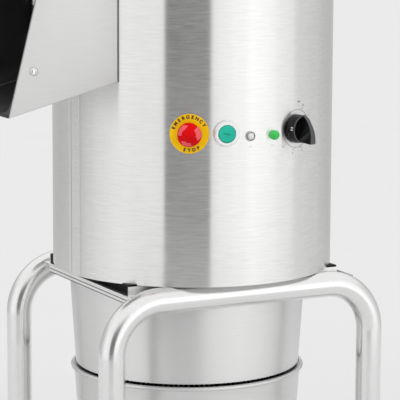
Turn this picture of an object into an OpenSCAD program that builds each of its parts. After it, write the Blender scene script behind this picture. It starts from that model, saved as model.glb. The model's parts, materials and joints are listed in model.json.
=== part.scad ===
// Commercial electric potato peeler on a bent-tube stand.
// Millimetres, +Z up, the front towards -Y and the discharge chute towards -X.
// The origin is on the floor, in the middle of the whole machine's outline.
// Every module is drawn about the drum's own axis; about_drum() moves it into place.

/* [Stand] */
// Height of the drum's underside above the floor
deck_h = 440; // [420:5:520]
// Outer diameter of the arch tube
tube_d = 40; // [34:1:46]
// Wall of the arch tube
tube_wall = 1.5; // [1:0.5:3]
// Half the distance between an arch's two legs, centre to centre
leg_x = 224; // [216:1:250]
// Distance of each arch from the drum's axis
arch_y = 176; // [168:1:184]
// Bend radius at the tube's centre line
bend_r = 78; // [60:1:100]
// Thickness of the rubber under each leg
foot_h = 10; // [6:1:20]
// How far a foot stands out round its leg
foot_rim = 3; // [1:0.5:5]
// How far a foot's plug reaches up into the leg
foot_plug = 25; // [10:1:40]
// Outer diameter of the low stretcher tubes
stretcher_d = 25; // [16:1:32]
// Height of the stretchers' centre line
stretcher_z = 60; // [45:1:80]
// Thickness of the shelf's sheet
shelf_t = 1.5; // [1:0.5:3]
// Depth of the shelf's folded edges
shelf_fold = 16; // [8:1:24]

/* [Tray and base pad] */
// Half the length of the tray between the arches
tray_half_x = 195; // [188:1:200]
// How far the tray's top lies under the drum
tray_drop = 14; // [10:1:16]
// Depth of the tray's folded edges
tray_fold = 8.5; // [5:0.5:12]
// How far the tray's side rims stand above it
tray_rim = 3.5; // [1:0.5:6]
// How far behind the drum's axis the side rims end
rim_back = 118; // [90:1:150]
// Height of the bead line pressed along each side rim
rim_line = 1; // [0.5:0.1:1.5]
// Thickness of the tray's sheet
tray_t = 1.5; // [1:0.5:3]
// Half the length of the base pad
pad_half_x = 182; // [172:1:186]
// Half the width of the base pad
pad_half_y = 144; // [138:1:148]
// Wall of the hollow base pad
pad_wall = 13; // [8:1:14]
// Height of the pad's corner horns that centre the drum
horn_h = 1.5; // [1:0.5:6]
// Thickness of the strips that hold the pad
strip_t = 2; // [1:0.5:3]

/* [Drum] */
// Outer diameter of the drum's casing
drum_d = 440; // [436:1:448]
// Thickness of the casing's sheet
casing_t = 1.5; // [1:0.25:2.5]
// Height of the casing
casing_h = 600; // [560:5:680]
// Depth of the lap seam that joins the casing's sheet
seam_d = 0.6; // [0.3:0.1:1]
// Width of the lap seam's groove
seam_w = 2; // [1:0.5:3]
// Turn of the seam from the front
seam_az = -86; // [-88:1:-82]
// Thickness of the plate that closes the drum below
base_t = 3; // [2:0.5:5]
// Thickness of the rolled top rim
rim_t = 7; // [5:0.5:10]

/* [Peeling chamber] */
// Height of the chamber floor's underside above the drum's underside
floor_z = 278; // [274:1:284]
// Thickness of the cast chamber floor
floor_t = 8; // [6:1:10]
// Thickness of the abrasive liner
liner_t = 7; // [4:1:10]
// Gap between the casing's top and the liner's top
liner_drop = 12; // [6:1:30]
// Gap between the peeling disc and the liner
disc_gap = 6; // [4:1:10]
// Gap under the peeling disc
disc_lift = 8; // [5:1:10]
// Thickness of the peeling disc
disc_t = 12; // [8:1:14]
// Height of the waves on the peeling disc
wave_h = 16; // [8:1:20]
// Radius of each wave's crest
wave_r = 46; // [40:1:60]
// Waves round the disc
waves = 3; // [2:1:5]
// Inner diameter of the drain
drain_d = 44; // [30:1:48]
// Wall of the drain pipe
drain_wall = 2; // [1:0.5:3]
// Distance of the drain from the drum's axis, leftwards
drain_x = 88; // [84:1:96]
// Distance of the drain from the drum's axis, backwards
drain_y = 98; // [94:1:102]
// How far the drain pipe reaches under the drum
drain_drop = 32; // [24:1:60]

/* [Drive] */
// Diameter of the drive shaft
shaft_d = 25; // [20:1:30]
// Radial running clearance of a shaft in its bearing
running = 0.05; // [0.02:0.01:0.09]
// Outer diameter of the bearings
bearing_d = 52; // [46:1:62]
// Width of a bearing
bearing_w = 15; // [12:1:18]
// Length of the bearing housing
housing_h = 84; // [70:1:110]
// Wall of the bearing housing
housing_wall = 8; // [6:1:12]
// Diameter of the driven pulley
big_pulley_d = 160; // [150:1:170]
// Diameter of the motor's pulley
small_pulley_d = 50; // [45:1:55]
// Width of the belt
belt_w = 16; // [10:1:20]
// Thickness of the belt
belt_t = 5; // [3:0.5:6]
// Clearance of the belt over the pulleys
belt_gap = 0.3; // [0.3:0.05:0.5]
// Flange of the pulleys beside the belt
pulley_flange = 3; // [2:0.5:4]
// Height of the belt's lower edge
belt_z = 30; // [24:1:40]
// Distance of the motor from the drum's axis
motor_off = 122; // [120:1:128]
// Direction of the motor from the drum's axis
motor_az = 45; // [35:1:50]
// Outer diameter of the motor
motor_d = 128; // [110:1:134]
// Height of the motor
motor_h = 160; // [140:1:170]
// Diameter of the motor's shaft
motor_shaft_d = 19; // [14:1:22]
// Thickness of the motor's mounting plate
bracket_t = 5; // [4:1:8]
// Height of the motor's mounting plate above the base plate
bracket_h = 66; // [62:1:76]
// Diameter of the posts that carry the motor's mounting plate
post_d = 12; // [8:1:14]

/* [Controls] */
// Height of the control row above the drum's underside
row_z = 232; // [200:1:240]
// How far the pilot lamps sit below the row
lamp_drop = 5.5; // [0:0.5:10]
// Turn of the control row's middle from the front, towards the chute
row_turn = 5.2; // [0:0.2:10]
// Turn of the emergency stop and of the timer from the row's middle
outer_az = 23.2; // [20:0.2:28]
// Turn of the start button from the row's middle
start_az = 9; // [8:0.2:12]
// Turn of the clear lamp from the row's middle
clear_az = 1; // [0:0.2:2]
// Turn of the green lamp from the row's middle
green_az = 11; // [10:0.2:13]
// Diameter of the emergency stop's plate
plate_d = 59; // [52:1:64]
// Thickness of the emergency stop's plate
plate_t = 1; // [0.5:0.25:2]
// Diameter of the emergency stop's mushroom
mushroom_d = 37; // [32:1:42]
// Height of the mushroom's head
mushroom_h = 12; // [10:1:16]
// Height of the emergency stop's collar on its plate
collar_h = 3; // [2:0.5:5]
// Gap between the mushroom and its collar
stop_gap = 5.5; // [5.5:0.5:8]
// Travel of the emergency stop
stop_travel = 4; // [2:0.5:4]
// Diameter of the holes for the switches
switch_hole_d = 22.4; // [18:0.2:26]
// Diameter of the start button's bezel
bezel_d = 38.5; // [34:0.5:42]
// Height of the start button's bezel
bezel_h = 8; // [6:0.5:11]
// Diameter of the start button's cap
start_d = 25.5; // [20:0.5:28]
// How far the start cap stands out of its bezel
start_proud = 1.5; // [1:0.5:3]
// Travel of the start button
start_travel = 3; // [2:0.5:4]
// Outer diameter of a pilot lamp's ring
lamp_d = 15; // [12:0.5:18]
// Diameter of a pilot lamp's lens
lens_d = 10.5; // [7:0.5:11]
// Height of a pilot lamp's ring
lamp_h = 3.5; // [2:0.5:6]
// Diameter of the green lamp's dome, which covers its ring
dome_d = 16.5; // [15:0.5:20]
// Height of the green lamp's dome
dome_h = 6; // [4:0.5:8]
// Diameter of the timer knob's skirt
knob_d = 48; // [40:1:52]
// Height of the timer knob's skirt
skirt_h = 11.5; // [7:0.5:14]
// Depth of the hollow beside the timer knob's finger grip
grip_well = 4; // [1:0.5:5]
// Height of the timer knob's finger grip above its skirt
grip_h = 20.5; // [12:0.5:24]
// Thickness of the finger grip at its lower end
grip_w = 11.6; // [9:0.2:14]
// Thickness of the finger grip at its upper end
grip_tip = 4.6; // [3:0.2:8]
// Gap between a knob or button and the drum
knob_gap = 3; // [2.6:0.2:5]
// Diameter of the timer's spindle
spindle_d = 6; // [4:1:8]
// Depth of the switch bodies behind the casing
switch_depth = 48; // [30:1:56]

/* [Chute] */
// Inside-to-outside width of the chute
chute_w = 240; // [232:1:256]
// Distance of the chute's lip from the drum's axis
chute_reach = 362; // [345:1:400]
// Height of the lip above the drum's underside
lip_z = 260; // [254:1:262]
// Slope of the chute's floor
chute_slope = 14.5; // [14:0.5:17]
// Gap between the door's frame and the chute's roof
roof_over = 11; // [8:1:30]
// Thickness of the chute's sheet
chute_t = 1.5; // [1:0.5:2.5]
// Thickness of the rubber between chute and drum
gasket_t = 2; // [1:0.5:3]
// Width of that rubber
gasket_w = 7; // [4:1:9]
// Thickness of the chute's black liner
guard_t = 2.5; // [2:0.5:4]
// Diameter of the heads of the liner's screws
guard_screw_d = 13.5; // [8:0.5:16]
// Distance of the liner's screws behind the mouth
guard_screw_in = 25; // [12:1:40]
// Distance of the liner's screws above the floor
guard_screw_up = 63; // [40:1:110]

/* [Discharge door] */
// Width of the discharge opening
gate_w = 184; // [150:1:188]
// Height of the discharge opening
gate_h = 130; // [100:1:134]
// Width of the frame round the opening
frame_w = 7; // [5:1:8]
// Depth of that frame on the casing
frame_t = 11; // [8:1:14]
// Thickness of the door
door_t = 13; // [10:1:15]
// Clearance of the door to its frame and in the opening
door_gap = 1.5; // [1:0.25:2.5]
// Depth of the door's plug in the opening
plug_t = 6; // [4:1:8]
// Diameter of the hinge pin
hinge_pin_d = 6; // [4:0.5:8]
// Outer diameter of the hinge knuckles
knuckle_d = 14; // [11:1:15]
// Gap between two knuckles
knuckle_gap = 1; // [0.5:0.25:2]
// Length of the latch's handle
latch_l = 62; // [50:1:66]
// Thickness of the latch lever
latch_t = 7; // [5:1:9]
// Gap between the latch's tongue and its keeper
latch_gap = 1; // [0.5:0.25:2]
// How far the latch's hub stands out of the door
latch_boss = 5; // [4:0.5:8]
// Diameter of the latch's hub
latch_hub_d = 24; // [20:1:26]
// Diameter of the latch's pin in the door
latch_pin_d = 10; // [6:0.5:12]
// Width of the latch's tongue
latch_tongue_w = 12; // [8:1:14]

/* [Lid] */
// Gap between the lid and the top rim
lid_gap = 0.6; // [0.4:0.1:1.5]
// Height of the lid's skirt
lid_h = 18; // [14:1:26]
// Thickness of the lid's shell
lid_t = 2; // [1.5:0.5:3]
// Height of the lid's crown above its skirt
crown_h = 16; // [8:1:26]
// Diameter of the lid's window
window_d = 250; // [180:1:280]
// Thickness of the lid's window
window_t = 5; // [3:1:8]
// Overlap of the window on the lid
window_lap = 14; // [8:1:20]
// Screws that hold the window
window_screws = 8; // [4:1:12]
// Diameter of the lid hinge's pin
lid_pin_d = 8; // [6:1:10]
// Distance of the lid hinge's axis behind the casing
lid_pin_out = 17; // [15:1:24]
// Width of the lid hinge's bracket
bracket_w = 66; // [50:1:90]
// How far that bracket reaches down the casing
bracket_drop = 70; // [50:1:80]
// Thickness of that bracket's plates and arms
bracket_plate = 8; // [6:1:10]
// Width of each strap on the lid
strap_w = 30; // [20:1:40]
// Width of the lid's handle
bow_w = 110; // [90:1:140]
// Diameter of the handle's bar
bow_d = 14; // [10:1:16]
// Distance of the handle's bar before the lid
bow_out = 22; // [18:1:30]
// Width of the handle's feet
bow_foot_w = 14; // [10:1:18]

/* [Hopper and peel container] */
// Radius of the hopper under the tray
hopper_r = 187.5; // [182:0.5:188.5]
// Depth of the hopper under the tray
hopper_h = 145; // [120:5:180]
// Thickness of the hopper's wall
hopper_t = 1.5; // [1:0.25:2.5]
// Draft of the hopper's wall and the container's
draft = 3.7; // [2:0.1:5]
// Distance of the hopper's middle left of the drum's axis
hopper_left = 4; // [0:0.5:4]
// Distance of the hopper's middle behind the drum's axis
hopper_back = 7; // [0:0.5:8]
// Thickness of the container's wall
pail_t = 1.2; // [0.8:0.2:2]
// How far the container's rim is wider than the hopper's lower end
pail_wider = 3; // [2:0.5:6]
// Gap between the container and the hopper
pail_gap = 4; // [2:0.5:8]
// Radius of the container's rolled rim
pail_roll = 3; // [2:0.5:3.5]
// Depth of the filter basket
basket_h = 110; // [80:5:130]
// Gap between basket and container
basket_gap = 8; // [4:1:16]
// Outer diameter of the container's drain spout
spout_d = 40; // [30:1:44]
// How far the drain spout stands out of the container
spout_out = 38; // [20:1:50]
// Height of the drain spout's middle above the container's bottom
spout_z = 34; // [32:1:50]
// Distance of the spout's collar end from the container's foot
collar_out = 8; // [6:0.5:12]
// Width of the container's handle
grip_wide = 114; // [90:1:140]
// Diameter of its bar
grip_d = 12; // [8:1:14]
// Distance of its bar before the container
grip_out = 24; // [20:1:34]
// Width of its feet
grip_foot = 18; // [12:1:22]

/* [Rear] */
// Width of the service cover's opening
hatch_w = 106; // [90:1:108]
// Height of the service cover's opening
hatch_h = 106; // [90:1:108]
// Height of that opening's lower edge above the drum's underside
hatch_z = 70; // [60:5:90]
// Overlap of the service cover round its opening
hatch_lap = 14; // [10:1:20]
// Thickness of the service cover
hatch_t = 1.5; // [1:0.5:3]
// Rows of louvres in the service cover
louvres = 5; // [3:1:6]
// Outer diameter of the water inlet
inlet_d = 21; // [16:1:26]
// Wall of the water inlet
inlet_wall = 3; // [2:0.5:4]
// Distance of the water inlet below the casing's top
inlet_drop = 115; // [110:1:150]
// Width of the lock nut across its corners, over the inlet's diameter
inlet_nut = 12; // [8:1:16]
// How far the water inlet stands out of the casing
inlet_out = 34; // [26:1:40]
// Outer diameter of the cable gland
gland_d = 24; // [18:1:30]

/* [Hidden] */
$fn = 96;

eps = 0.01;
past = 60;
drum_r = drum_d / 2;
casing_in = drum_r - casing_t;
tube_r = tube_d / 2;
tube_z = deck_h - tube_r;
run_x = leg_x - bend_r;
foot_r = tube_r + foot_rim;
// The machine reaches from the chute's lip to the right-hand feet
axis_x = (chute_reach - leg_x - foot_r) / 2;

tray_top = deck_h - tray_drop;
tray_low = tray_top - tray_fold;
line_in = tray_t * 0.4;
shelf_top = stretcher_z + stretcher_d / 2 + shelf_t;

stop_az = -row_turn - outer_az;
timer_az = -row_turn + outer_az;
button_az = -row_turn - start_az;
stop_stem_d = 12;
stop_socket = 4;
mushroom_z = plate_t + collar_h + stop_gap;
lamp_azs = [-row_turn + clear_az, -row_turn + green_az];

floor_top = floor_z + floor_t;
liner_r = casing_in - liner_t;
liner_h = casing_h - floor_top - liner_drop;
inlet_z = casing_h - inlet_drop;
floor_lip = 6;
disc_z = floor_top + disc_lift;
disc_r = liner_r - disc_gap;

shaft_r = shaft_d / 2;
drain_r = drain_d / 2 + drain_wall;
housing_low = floor_z - housing_h;
housing_r = bearing_d / 2 + housing_wall;
pulley_z = belt_z - pulley_flange;
pulley_h = belt_w + 2 * pulley_flange;
motor_x = motor_off * cos(motor_az);
motor_y = motor_off * sin(motor_az);

mouth_lean = tan(chute_slope);
chute_end = drum_r - 40;
chute_in_w = chute_w - 2 * chute_t;
guard_in_w = chute_in_w - 2 * guard_t;

// The door's frame stands just clear of the chute's floor where the floor is highest under it
frame_y = gate_w / 2 + frame_w;
frame_corner_x = sqrt(pow(drum_r, 2) - pow(frame_y, 2));
floor_stack = max(gasket_w, chute_t + guard_t) / cos(chute_slope);
frame_z = lip_z + floor_stack + (chute_reach - frame_corner_x) * mouth_lean + 1;
gate_z = frame_z + frame_w;
gate_top = gate_z + gate_h;
roof_z = gate_top + frame_w + roof_over;

frame_r = drum_r + frame_t;
door_in = frame_r + door_gap;
door_out = door_in + door_t;
hinge_y = frame_y + knuckle_d / 2 - 2;
hinge_x = -sqrt(pow(door_in, 2) - pow(hinge_y, 2)) - knuckle_d / 2 - 6;
door_far_y = hinge_y - knuckle_d / 2 - 1;
door_near_y = -frame_y - 6;
door_low = frame_z + door_gap;
door_high = gate_top + frame_w;
hinge_low = gate_z + 4;
hinge_high = gate_top - 2;
barrel_low = gate_z + gate_h / 3;
barrel_high = gate_z + gate_h * 2 / 3;
latch_y = -gate_w / 2 + 14;
latch_z = gate_z + gate_h / 2;
latch_x = -sqrt(pow(door_out, 2) - pow(latch_y, 2)) - latch_boss;
tongue_y = -guard_in_w / 2 + 4;
// The handle passes clear over the door's bulge
handle_off = door_out + door_gap + latch_x;
latch_pin_in = door_t - 4;

rim_top = casing_h + rim_t / 2;
lid_low = rim_top + lid_gap;
lid_r = drum_r + 3;
lid_top = lid_low + lid_h;
window_z = lid_top + crown_h;
lid_pin_y = drum_r + lid_pin_out;
lid_pin_z = lid_low + 4;

hopper_top = tray_top - tray_t;
hopper_low = hopper_top - hopper_h;
hopper_low_r = hopper_r - hopper_h * tan(draft);
pail_r = hopper_low_r + pail_wider;
pail_low = shelf_top + 0.4;
pail_h = hopper_low - pail_gap - pail_low;
pail_foot_r = pail_r - pail_h * tan(draft);
basket_r = pail_r - basket_gap;

// ---------- placing ----------

// Puts the drum's axis where the machine's outline is centred on the origin
module about_drum() {
    translate([axis_x, 0, 0]) children();
}

// Heights counted from the drum's underside
module on_deck(z = 0) {
    translate([axis_x, 0, deck_h + z]) children();
}

// The hopper and the container share one axis
module about_hopper(z) {
    about_drum() translate([-hopper_left, hopper_back, z]) children();
}

// Local +Z points out of the drum's wall at a turn az from the front, local +Y points up
module on_wall(az, z) {
    on_deck(z) rotate([0, 0, az]) translate([0, -drum_r, 0]) rotate([90, 0, 0]) children();
}

// Curved plate on a cylinder: between two radii, from y0 to y1, on the chute's side
module wall_patch(r_in, r_out, y0, y1, z0, z1) {
    intersection() {
        difference() {
            translate([0, 0, z0]) cylinder(r = r_out, h = z1 - z0, $fn = 180);
            translate([0, 0, z0 - 1]) cylinder(r = r_in, h = z1 - z0 + 2, $fn = 180);
        }
        translate([-r_out - past, y0, z0 - 1]) cube([r_out + past, y1 - y0, z1 - z0 + 2]);
    }
}

module ring(r_in, r_out, h) {
    difference() {
        cylinder(r = r_out, h = h);
        translate([0, 0, -1]) cylinder(r = r_in, h = h + 2);
    }
}

// A flat disc on a stem whose foot follows the drum's wall
module seated(r, h) {
    difference() {
        translate([0, 0, -4]) cylinder(r = r, h = h + 4);
        translate([0, -past, -drum_r]) rotate([-90, 0, 0]) cylinder(r = drum_r, h = 2 * past, $fn = 180);
    }
}

// ---------- stand ----------

// One inverted U: two legs, two bends and the run across the top
module arch_path(r, low) {
    translate([-run_x, 0, tube_z]) rotate([0, 90, 0]) cylinder(r = r, h = 2 * run_x);
    for (side = [0, 1]) mirror([side, 0, 0]) {
        translate([run_x, 0, tube_z - bend_r]) rotate([90, 0, 0])
            rotate_extrude(angle = 90) translate([bend_r, 0]) circle(r = r);
        translate([leg_x, 0, low]) cylinder(r = r, h = tube_z - bend_r - low);
    }
}

module arch(y) {
    about_drum() translate([0, y, 0]) color("silver") difference() {
        arch_path(tube_r, foot_h);
        arch_path(tube_r - tube_wall, foot_h - 1);
    }
}

module front_arch() {
    arch(-arch_y);
}

module rear_arch() {
    arch(arch_y);
}

module feet() {
    color("dimgray") about_drum() for (x = [-leg_x, leg_x], y = [-arch_y, arch_y])
        translate([x, y, 0]) {
            rotate_extrude() polygon([[0, 0], [foot_r - 2, 0], [foot_r, 2], [foot_r, foot_h - 1],
                [foot_r - 1, foot_h], [0, foot_h]]);
            translate([0, 0, foot_h - eps]) cylinder(r = tube_r - tube_wall, h = foot_plug);
        }
}

// Low tubes that tie the front legs to the rear legs and carry the shelf
module stretchers() {
    color("silver") about_drum() for (x = [-leg_x, leg_x]) difference() {
        translate([x, -arch_y, stretcher_z]) rotate([-90, 0, 0]) difference() {
            cylinder(d = stretcher_d, h = 2 * arch_y);
            translate([0, 0, -1]) cylinder(d = stretcher_d - 2 * tube_wall, h = 2 * arch_y + 2);
        }
        for (y = [-arch_y, arch_y]) translate([x, y, 0]) cylinder(r = tube_r, h = 2 * stretcher_z);
    }
}

module shelf() {
    depth = arch_y - tube_r - 4;
    width = leg_x + stretcher_d / 2;
    fold_x = leg_x - stretcher_d / 2 - 1;
    color("silver") about_drum() {
        translate([-width, -depth, shelf_top - shelf_t]) cube([2 * width, 2 * depth, shelf_t]);
        for (y = [-depth, depth - shelf_t]) translate([-fold_x, y, shelf_top - shelf_fold])
            cube([2 * fold_x, shelf_t, shelf_fold - shelf_t + eps]);
    }
}

// Folded sheet between the arches; its ends are coped to the tubes
module deck_tray() {
    color("silver") about_drum() difference() {
        union() {
            translate([-tray_half_x, -arch_y, tray_top - tray_t])
                cube([2 * tray_half_x, 2 * arch_y, tray_t]);
            for (x = [-tray_half_x, tray_half_x - tray_t]) translate([x, -arch_y, tray_low])
                cube([tray_t, 2 * arch_y, tray_fold + tray_rim]);
        }
        for (x = [-leg_x, pad_half_x + 2]) translate([x, rim_back, tray_low - 1])
            cube([leg_x - pad_half_x - 2, 2 * arch_y, tray_fold + tray_rim + 2]);
        for (x = [-tray_half_x - line_in, tray_half_x - line_in])
            translate([x, -arch_y - 1, (tray_low + tray_top + tray_rim - rim_line) / 2])
                cube([2 * line_in, 2 * arch_y + 2, rim_line]);
        for (y = [-arch_y, arch_y]) translate([0, y, 0]) arch_path(tube_r, foot_h);
        for (y = [-arch_y - past, arch_y]) translate([-leg_x, y, tray_low - 1])
            cube([2 * leg_x, past, tray_fold + tray_rim + 2]);
        translate([-drain_x, drain_y, tray_low - 1]) cylinder(r = drain_r + 2, h = tray_fold + 2);
    }
}

// Hollow rubber pad that carries the drum, with four horns that keep the drum centred
module base_pad() {
    low = tray_drop;
    color("black") on_deck() difference() {
        union() {
            translate([-pad_half_x, -pad_half_y, -low]) cube([2 * pad_half_x, 2 * pad_half_y, low]);
            difference() {
                translate([-pad_half_x, -pad_half_y, -1])
                    cube([2 * pad_half_x, 2 * pad_half_y, horn_h + 1]);
                translate([0, 0, -2]) cylinder(r = drum_r + 0.5, h = horn_h + 4, $fn = 180);
            }
        }
        translate([-pad_half_x + pad_wall, -pad_half_y + pad_wall, -low - 1])
            cube([2 * (pad_half_x - pad_wall), 2 * (pad_half_y - pad_wall), low + horn_h + 2]);
    }
}

module pad_strips() {
    drop = 1;
    color("lightgray") on_deck() for (y = [-pad_half_y - strip_t, pad_half_y])
        translate([-pad_half_x, y, -tray_drop]) cube([2 * pad_half_x, strip_t, tray_drop - drop]);
}

// ---------- drum ----------

// Everything that is cut through the casing
module casing_cuts() {
    rotate([0, 0, stop_az]) wall_hole(switch_hole_d, row_z);
    rotate([0, 0, button_az]) wall_hole(switch_hole_d, row_z);
    rotate([0, 0, timer_az]) wall_hole(spindle_d + 4, row_z);
    for (az = lamp_azs) rotate([0, 0, az]) wall_hole(lens_d + 2.8, row_z - lamp_drop);
    rotate([0, 0, 180]) wall_hole(inlet_d + 0.4, inlet_z);
    rotate([0, 0, 150]) wall_hole(gland_d - 6, hatch_z / 2);
    translate([-drum_r - 5, -gate_w / 2, gate_z]) cube([past, gate_w, gate_h]);
    translate([-hatch_w / 2, drum_r - past, hatch_z]) cube([hatch_w, 2 * past, hatch_h]);
    rotate([0, 0, seam_az]) translate([-seam_w / 2, -drum_r - 1, -1])
        cube([seam_w, seam_d + 1, casing_h + 2]);
}

module wall_hole(d, z) {
    translate([0, -drum_r + past / 2, z]) rotate([90, 0, 0]) cylinder(d = d, h = past);
}

module casing() {
    color("gainsboro") on_deck() difference() {
        cylinder(r = drum_r, h = casing_h, $fn = 180);
        translate([0, 0, -1]) cylinder(r = casing_in, h = casing_h + 2, $fn = 180);
        casing_cuts();
    }
}

module base_plate() {
    color("silver") on_deck() difference() {
        cylinder(r = casing_in, h = base_t, $fn = 180);
        translate([-drain_x, drain_y, -1]) cylinder(r = drain_r, h = base_t + 2);
    }
}

// Rolled bead along the casing's upper edge
module top_rim() {
    color("silver") on_deck(casing_h) rotate_extrude($fn = 180)
        difference() {
            translate([drum_r - casing_t / 2, 0]) circle(d = rim_t, $fn = 32);
            translate([casing_in, -rim_t]) square([casing_t, rim_t]);
        }
}

// ---------- peeling chamber ----------

module chamber_floor() {
    color("darkgray") on_deck(floor_z) difference() {
        union() {
            cylinder(r = casing_in, h = floor_t, $fn = 180);
            ring(liner_r + 1, casing_in, floor_t + floor_lip);
        }
        translate([0, 0, -1]) cylinder(r = shaft_r + 3, h = floor_t + 2);
        translate([-drain_x, drain_y, -1]) cylinder(r = drain_r, h = floor_t + 2);
    }
}

module abrasive_liner() {
    color("dimgray") on_deck() difference() {
        translate([0, 0, floor_top + floor_lip]) ring(liner_r, casing_in, liner_h - floor_lip);
        translate([-drum_r - 5, -gate_w / 2, gate_z]) cube([past, gate_w, gate_h]);
        rotate([0, 0, 180]) wall_hole(inlet_d + 4, inlet_z);
    }
}

module drain_pipe() {
    color("gray") on_deck(-drain_drop) translate([-drain_x, drain_y, 0])
        ring(drain_d / 2, drain_r, floor_top + drain_drop);
}

// Tapered skirt under the tray, coped to the arches, that leads water and peel into the container
module peel_hopper() {
    lean = hopper_t / cos(draft);
    color("lightgray") difference() {
        about_hopper(hopper_low) difference() {
            cylinder(r1 = hopper_low_r, r2 = hopper_r, h = hopper_h, $fn = 180);
            translate([0, 0, -1]) cylinder(r1 = hopper_low_r - lean - tan(draft),
                r2 = hopper_r - lean + tan(draft), h = hopper_h + 2, $fn = 180);
        }
        about_drum() for (y = [-arch_y, arch_y]) translate([0, y, 0]) arch_path(tube_r, foot_h);
    }
}

// ---------- drive ----------

module bearing_housing() {
    shelf_w = 3;
    color("slategray") on_deck(housing_low) difference() {
        union() {
            cylinder(r = housing_r, h = housing_h);
            translate([0, 0, housing_h - 10]) cylinder(r = housing_r + 22, h = 10);
        }
        translate([0, 0, -1]) cylinder(d = bearing_d - 2 * shelf_w, h = housing_h + 2);
        for (z = [-1, housing_h - bearing_w]) translate([0, 0, z])
            cylinder(d = bearing_d, h = bearing_w + 1);
        for (turn = [0:90:270]) rotate([0, 0, turn + 45]) translate([housing_r + 12, 0, housing_h - 11])
            cylinder(d = 9, h = 12);
    }
}

module bearings() {
    color("lightsteelblue") for (z = [0, housing_h - bearing_w]) on_deck(housing_low + z)
        ring(shaft_r + running, bearing_d / 2, bearing_w);
}

module motor() {
    fins = 16;
    color("steelblue") on_deck(base_t + bracket_h) translate([motor_x, motor_y, 0]) difference() {
        union() {
            cylinder(d = motor_d - 12, h = motor_h);
            cylinder(d = motor_d, h = 14);
            translate([0, 0, motor_h - 16]) cylinder(d = motor_d, h = 16);
            for (i = [0:fins - 1]) rotate([0, 0, i * 360 / fins]) translate([motor_d / 2 - 8, -1.5, 10])
                cube([7, 3, motor_h - 22]);
        }
        translate([0, 0, -1]) cylinder(d = motor_shaft_d + 2 * running, h = motor_h / 2);
    }
}

// Round plate on four posts that stand clear of the belt
module motor_bracket() {
    post_r = motor_d / 2 - post_d / 2 - 2;
    color("slategray") on_deck(base_t) translate([motor_x, motor_y, 0])
        rotate([0, 0, motor_az]) difference() {
            union() {
                translate([0, 0, bracket_h - bracket_t]) cylinder(d = motor_d, h = bracket_t);
                for (turn = [-105, -40, 40, 105]) rotate([0, 0, turn]) translate([post_r, 0, 0])
                    cylinder(d = post_d, h = bracket_h - bracket_t + eps);
            }
            translate([0, 0, bracket_h - bracket_t - 1]) cylinder(d = motor_shaft_d + 6, h = bracket_t + 2);
        }
}

// Outline of a belt round both pulleys, grown by extra
module belt_outline(extra) {
    // The straight runs sit a hair inside both circles, so that they cross them cleanly
    hair = 0.1;
    ra = big_pulley_d / 2 + extra;
    rb = small_pulley_d / 2 + extra;
    lean = acos((ra - rb) / motor_off);
    a = [(ra - hair) * cos(lean), (ra - hair) * sin(lean)];
    b = [motor_off + (rb - hair) * cos(lean), (rb - hair) * sin(lean)];
    rotate([0, 0, motor_az]) {
        circle(r = ra);
        translate([motor_off, 0]) circle(r = rb);
        polygon([a, [a[0], -a[1]], [b[0], -b[1]], b]);
    }
}

module drive_belt() {
    color("black") on_deck(belt_z) linear_extrude(belt_w) difference() {
        belt_outline(belt_gap + belt_t);
        belt_outline(belt_gap);
    }
}

module pulley(d, bore) {
    difference() {
        union() {
            cylinder(d = d, h = pulley_h);
            for (z = [0, pulley_h - pulley_flange + 0.5]) translate([0, 0, z])
                cylinder(d = d + 6, h = pulley_flange - 0.5);
        }
        translate([0, 0, -1]) cylinder(d = bore, h = pulley_h + 2);
    }
}

module drive_shaft() {
    low = pulley_z - 6;
    color("lightgray") on_deck(low) union() {
        cylinder(d = shaft_d, h = disc_z + disc_t - low);
        translate([0, 0, housing_low - low - 4]) cylinder(d = shaft_d + 8, h = 3);
    }
}

module driven_pulley() {
    color("darkgray") on_deck(pulley_z) difference() {
        pulley(big_pulley_d, shaft_d);
        for (turn = [0:60:300]) rotate([0, 0, turn]) translate([big_pulley_d / 3.4, 0, -1])
            cylinder(d = big_pulley_d / 6, h = pulley_h + 2);
    }
}

module motor_pulley() {
    top = base_t + bracket_h + motor_h / 3;
    color("darkgray") on_deck() translate([motor_x, motor_y, 0]) {
        translate([0, 0, pulley_z]) pulley(small_pulley_d, motor_shaft_d);
        translate([0, 0, pulley_z - 2]) cylinder(d = motor_shaft_d, h = top - pulley_z);
    }
}

// Round plate with radial waves that throw and turn the potatoes
module peeling_disc() {
    sink = wave_r - wave_h;
    color("dimgray") on_deck(disc_z) difference() {
        union() {
            cylinder(r = disc_r, h = disc_t, $fn = 180);
            cylinder(r = 34, h = disc_t + 6);
            intersection() {
                translate([0, 0, 1]) cylinder(r = disc_r - 6, h = disc_t + wave_h, $fn = 180);
                for (i = [0:waves - 1]) rotate([0, 0, i * 360 / waves + 20])
                    translate([30, 0, disc_t - sink]) rotate([0, 90, 0])
                        cylinder(r = wave_r, h = disc_r);
            }
        }
        translate([0, 0, -wave_r]) cylinder(r = disc_r + 1, h = wave_r);
        translate([0, 0, -1]) cylinder(d = shaft_d, h = disc_t + 1);
    }
}

module disc_cap() {
    cap_r = 21;
    color("silver") on_deck(disc_z + disc_t + 6) rotate_extrude()
        polygon([[0, 0], [cap_r, 0], [cap_r, 5], [cap_r - 3, 9], [8, 12], [0, 12]]);
}

// ---------- rear ----------

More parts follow.
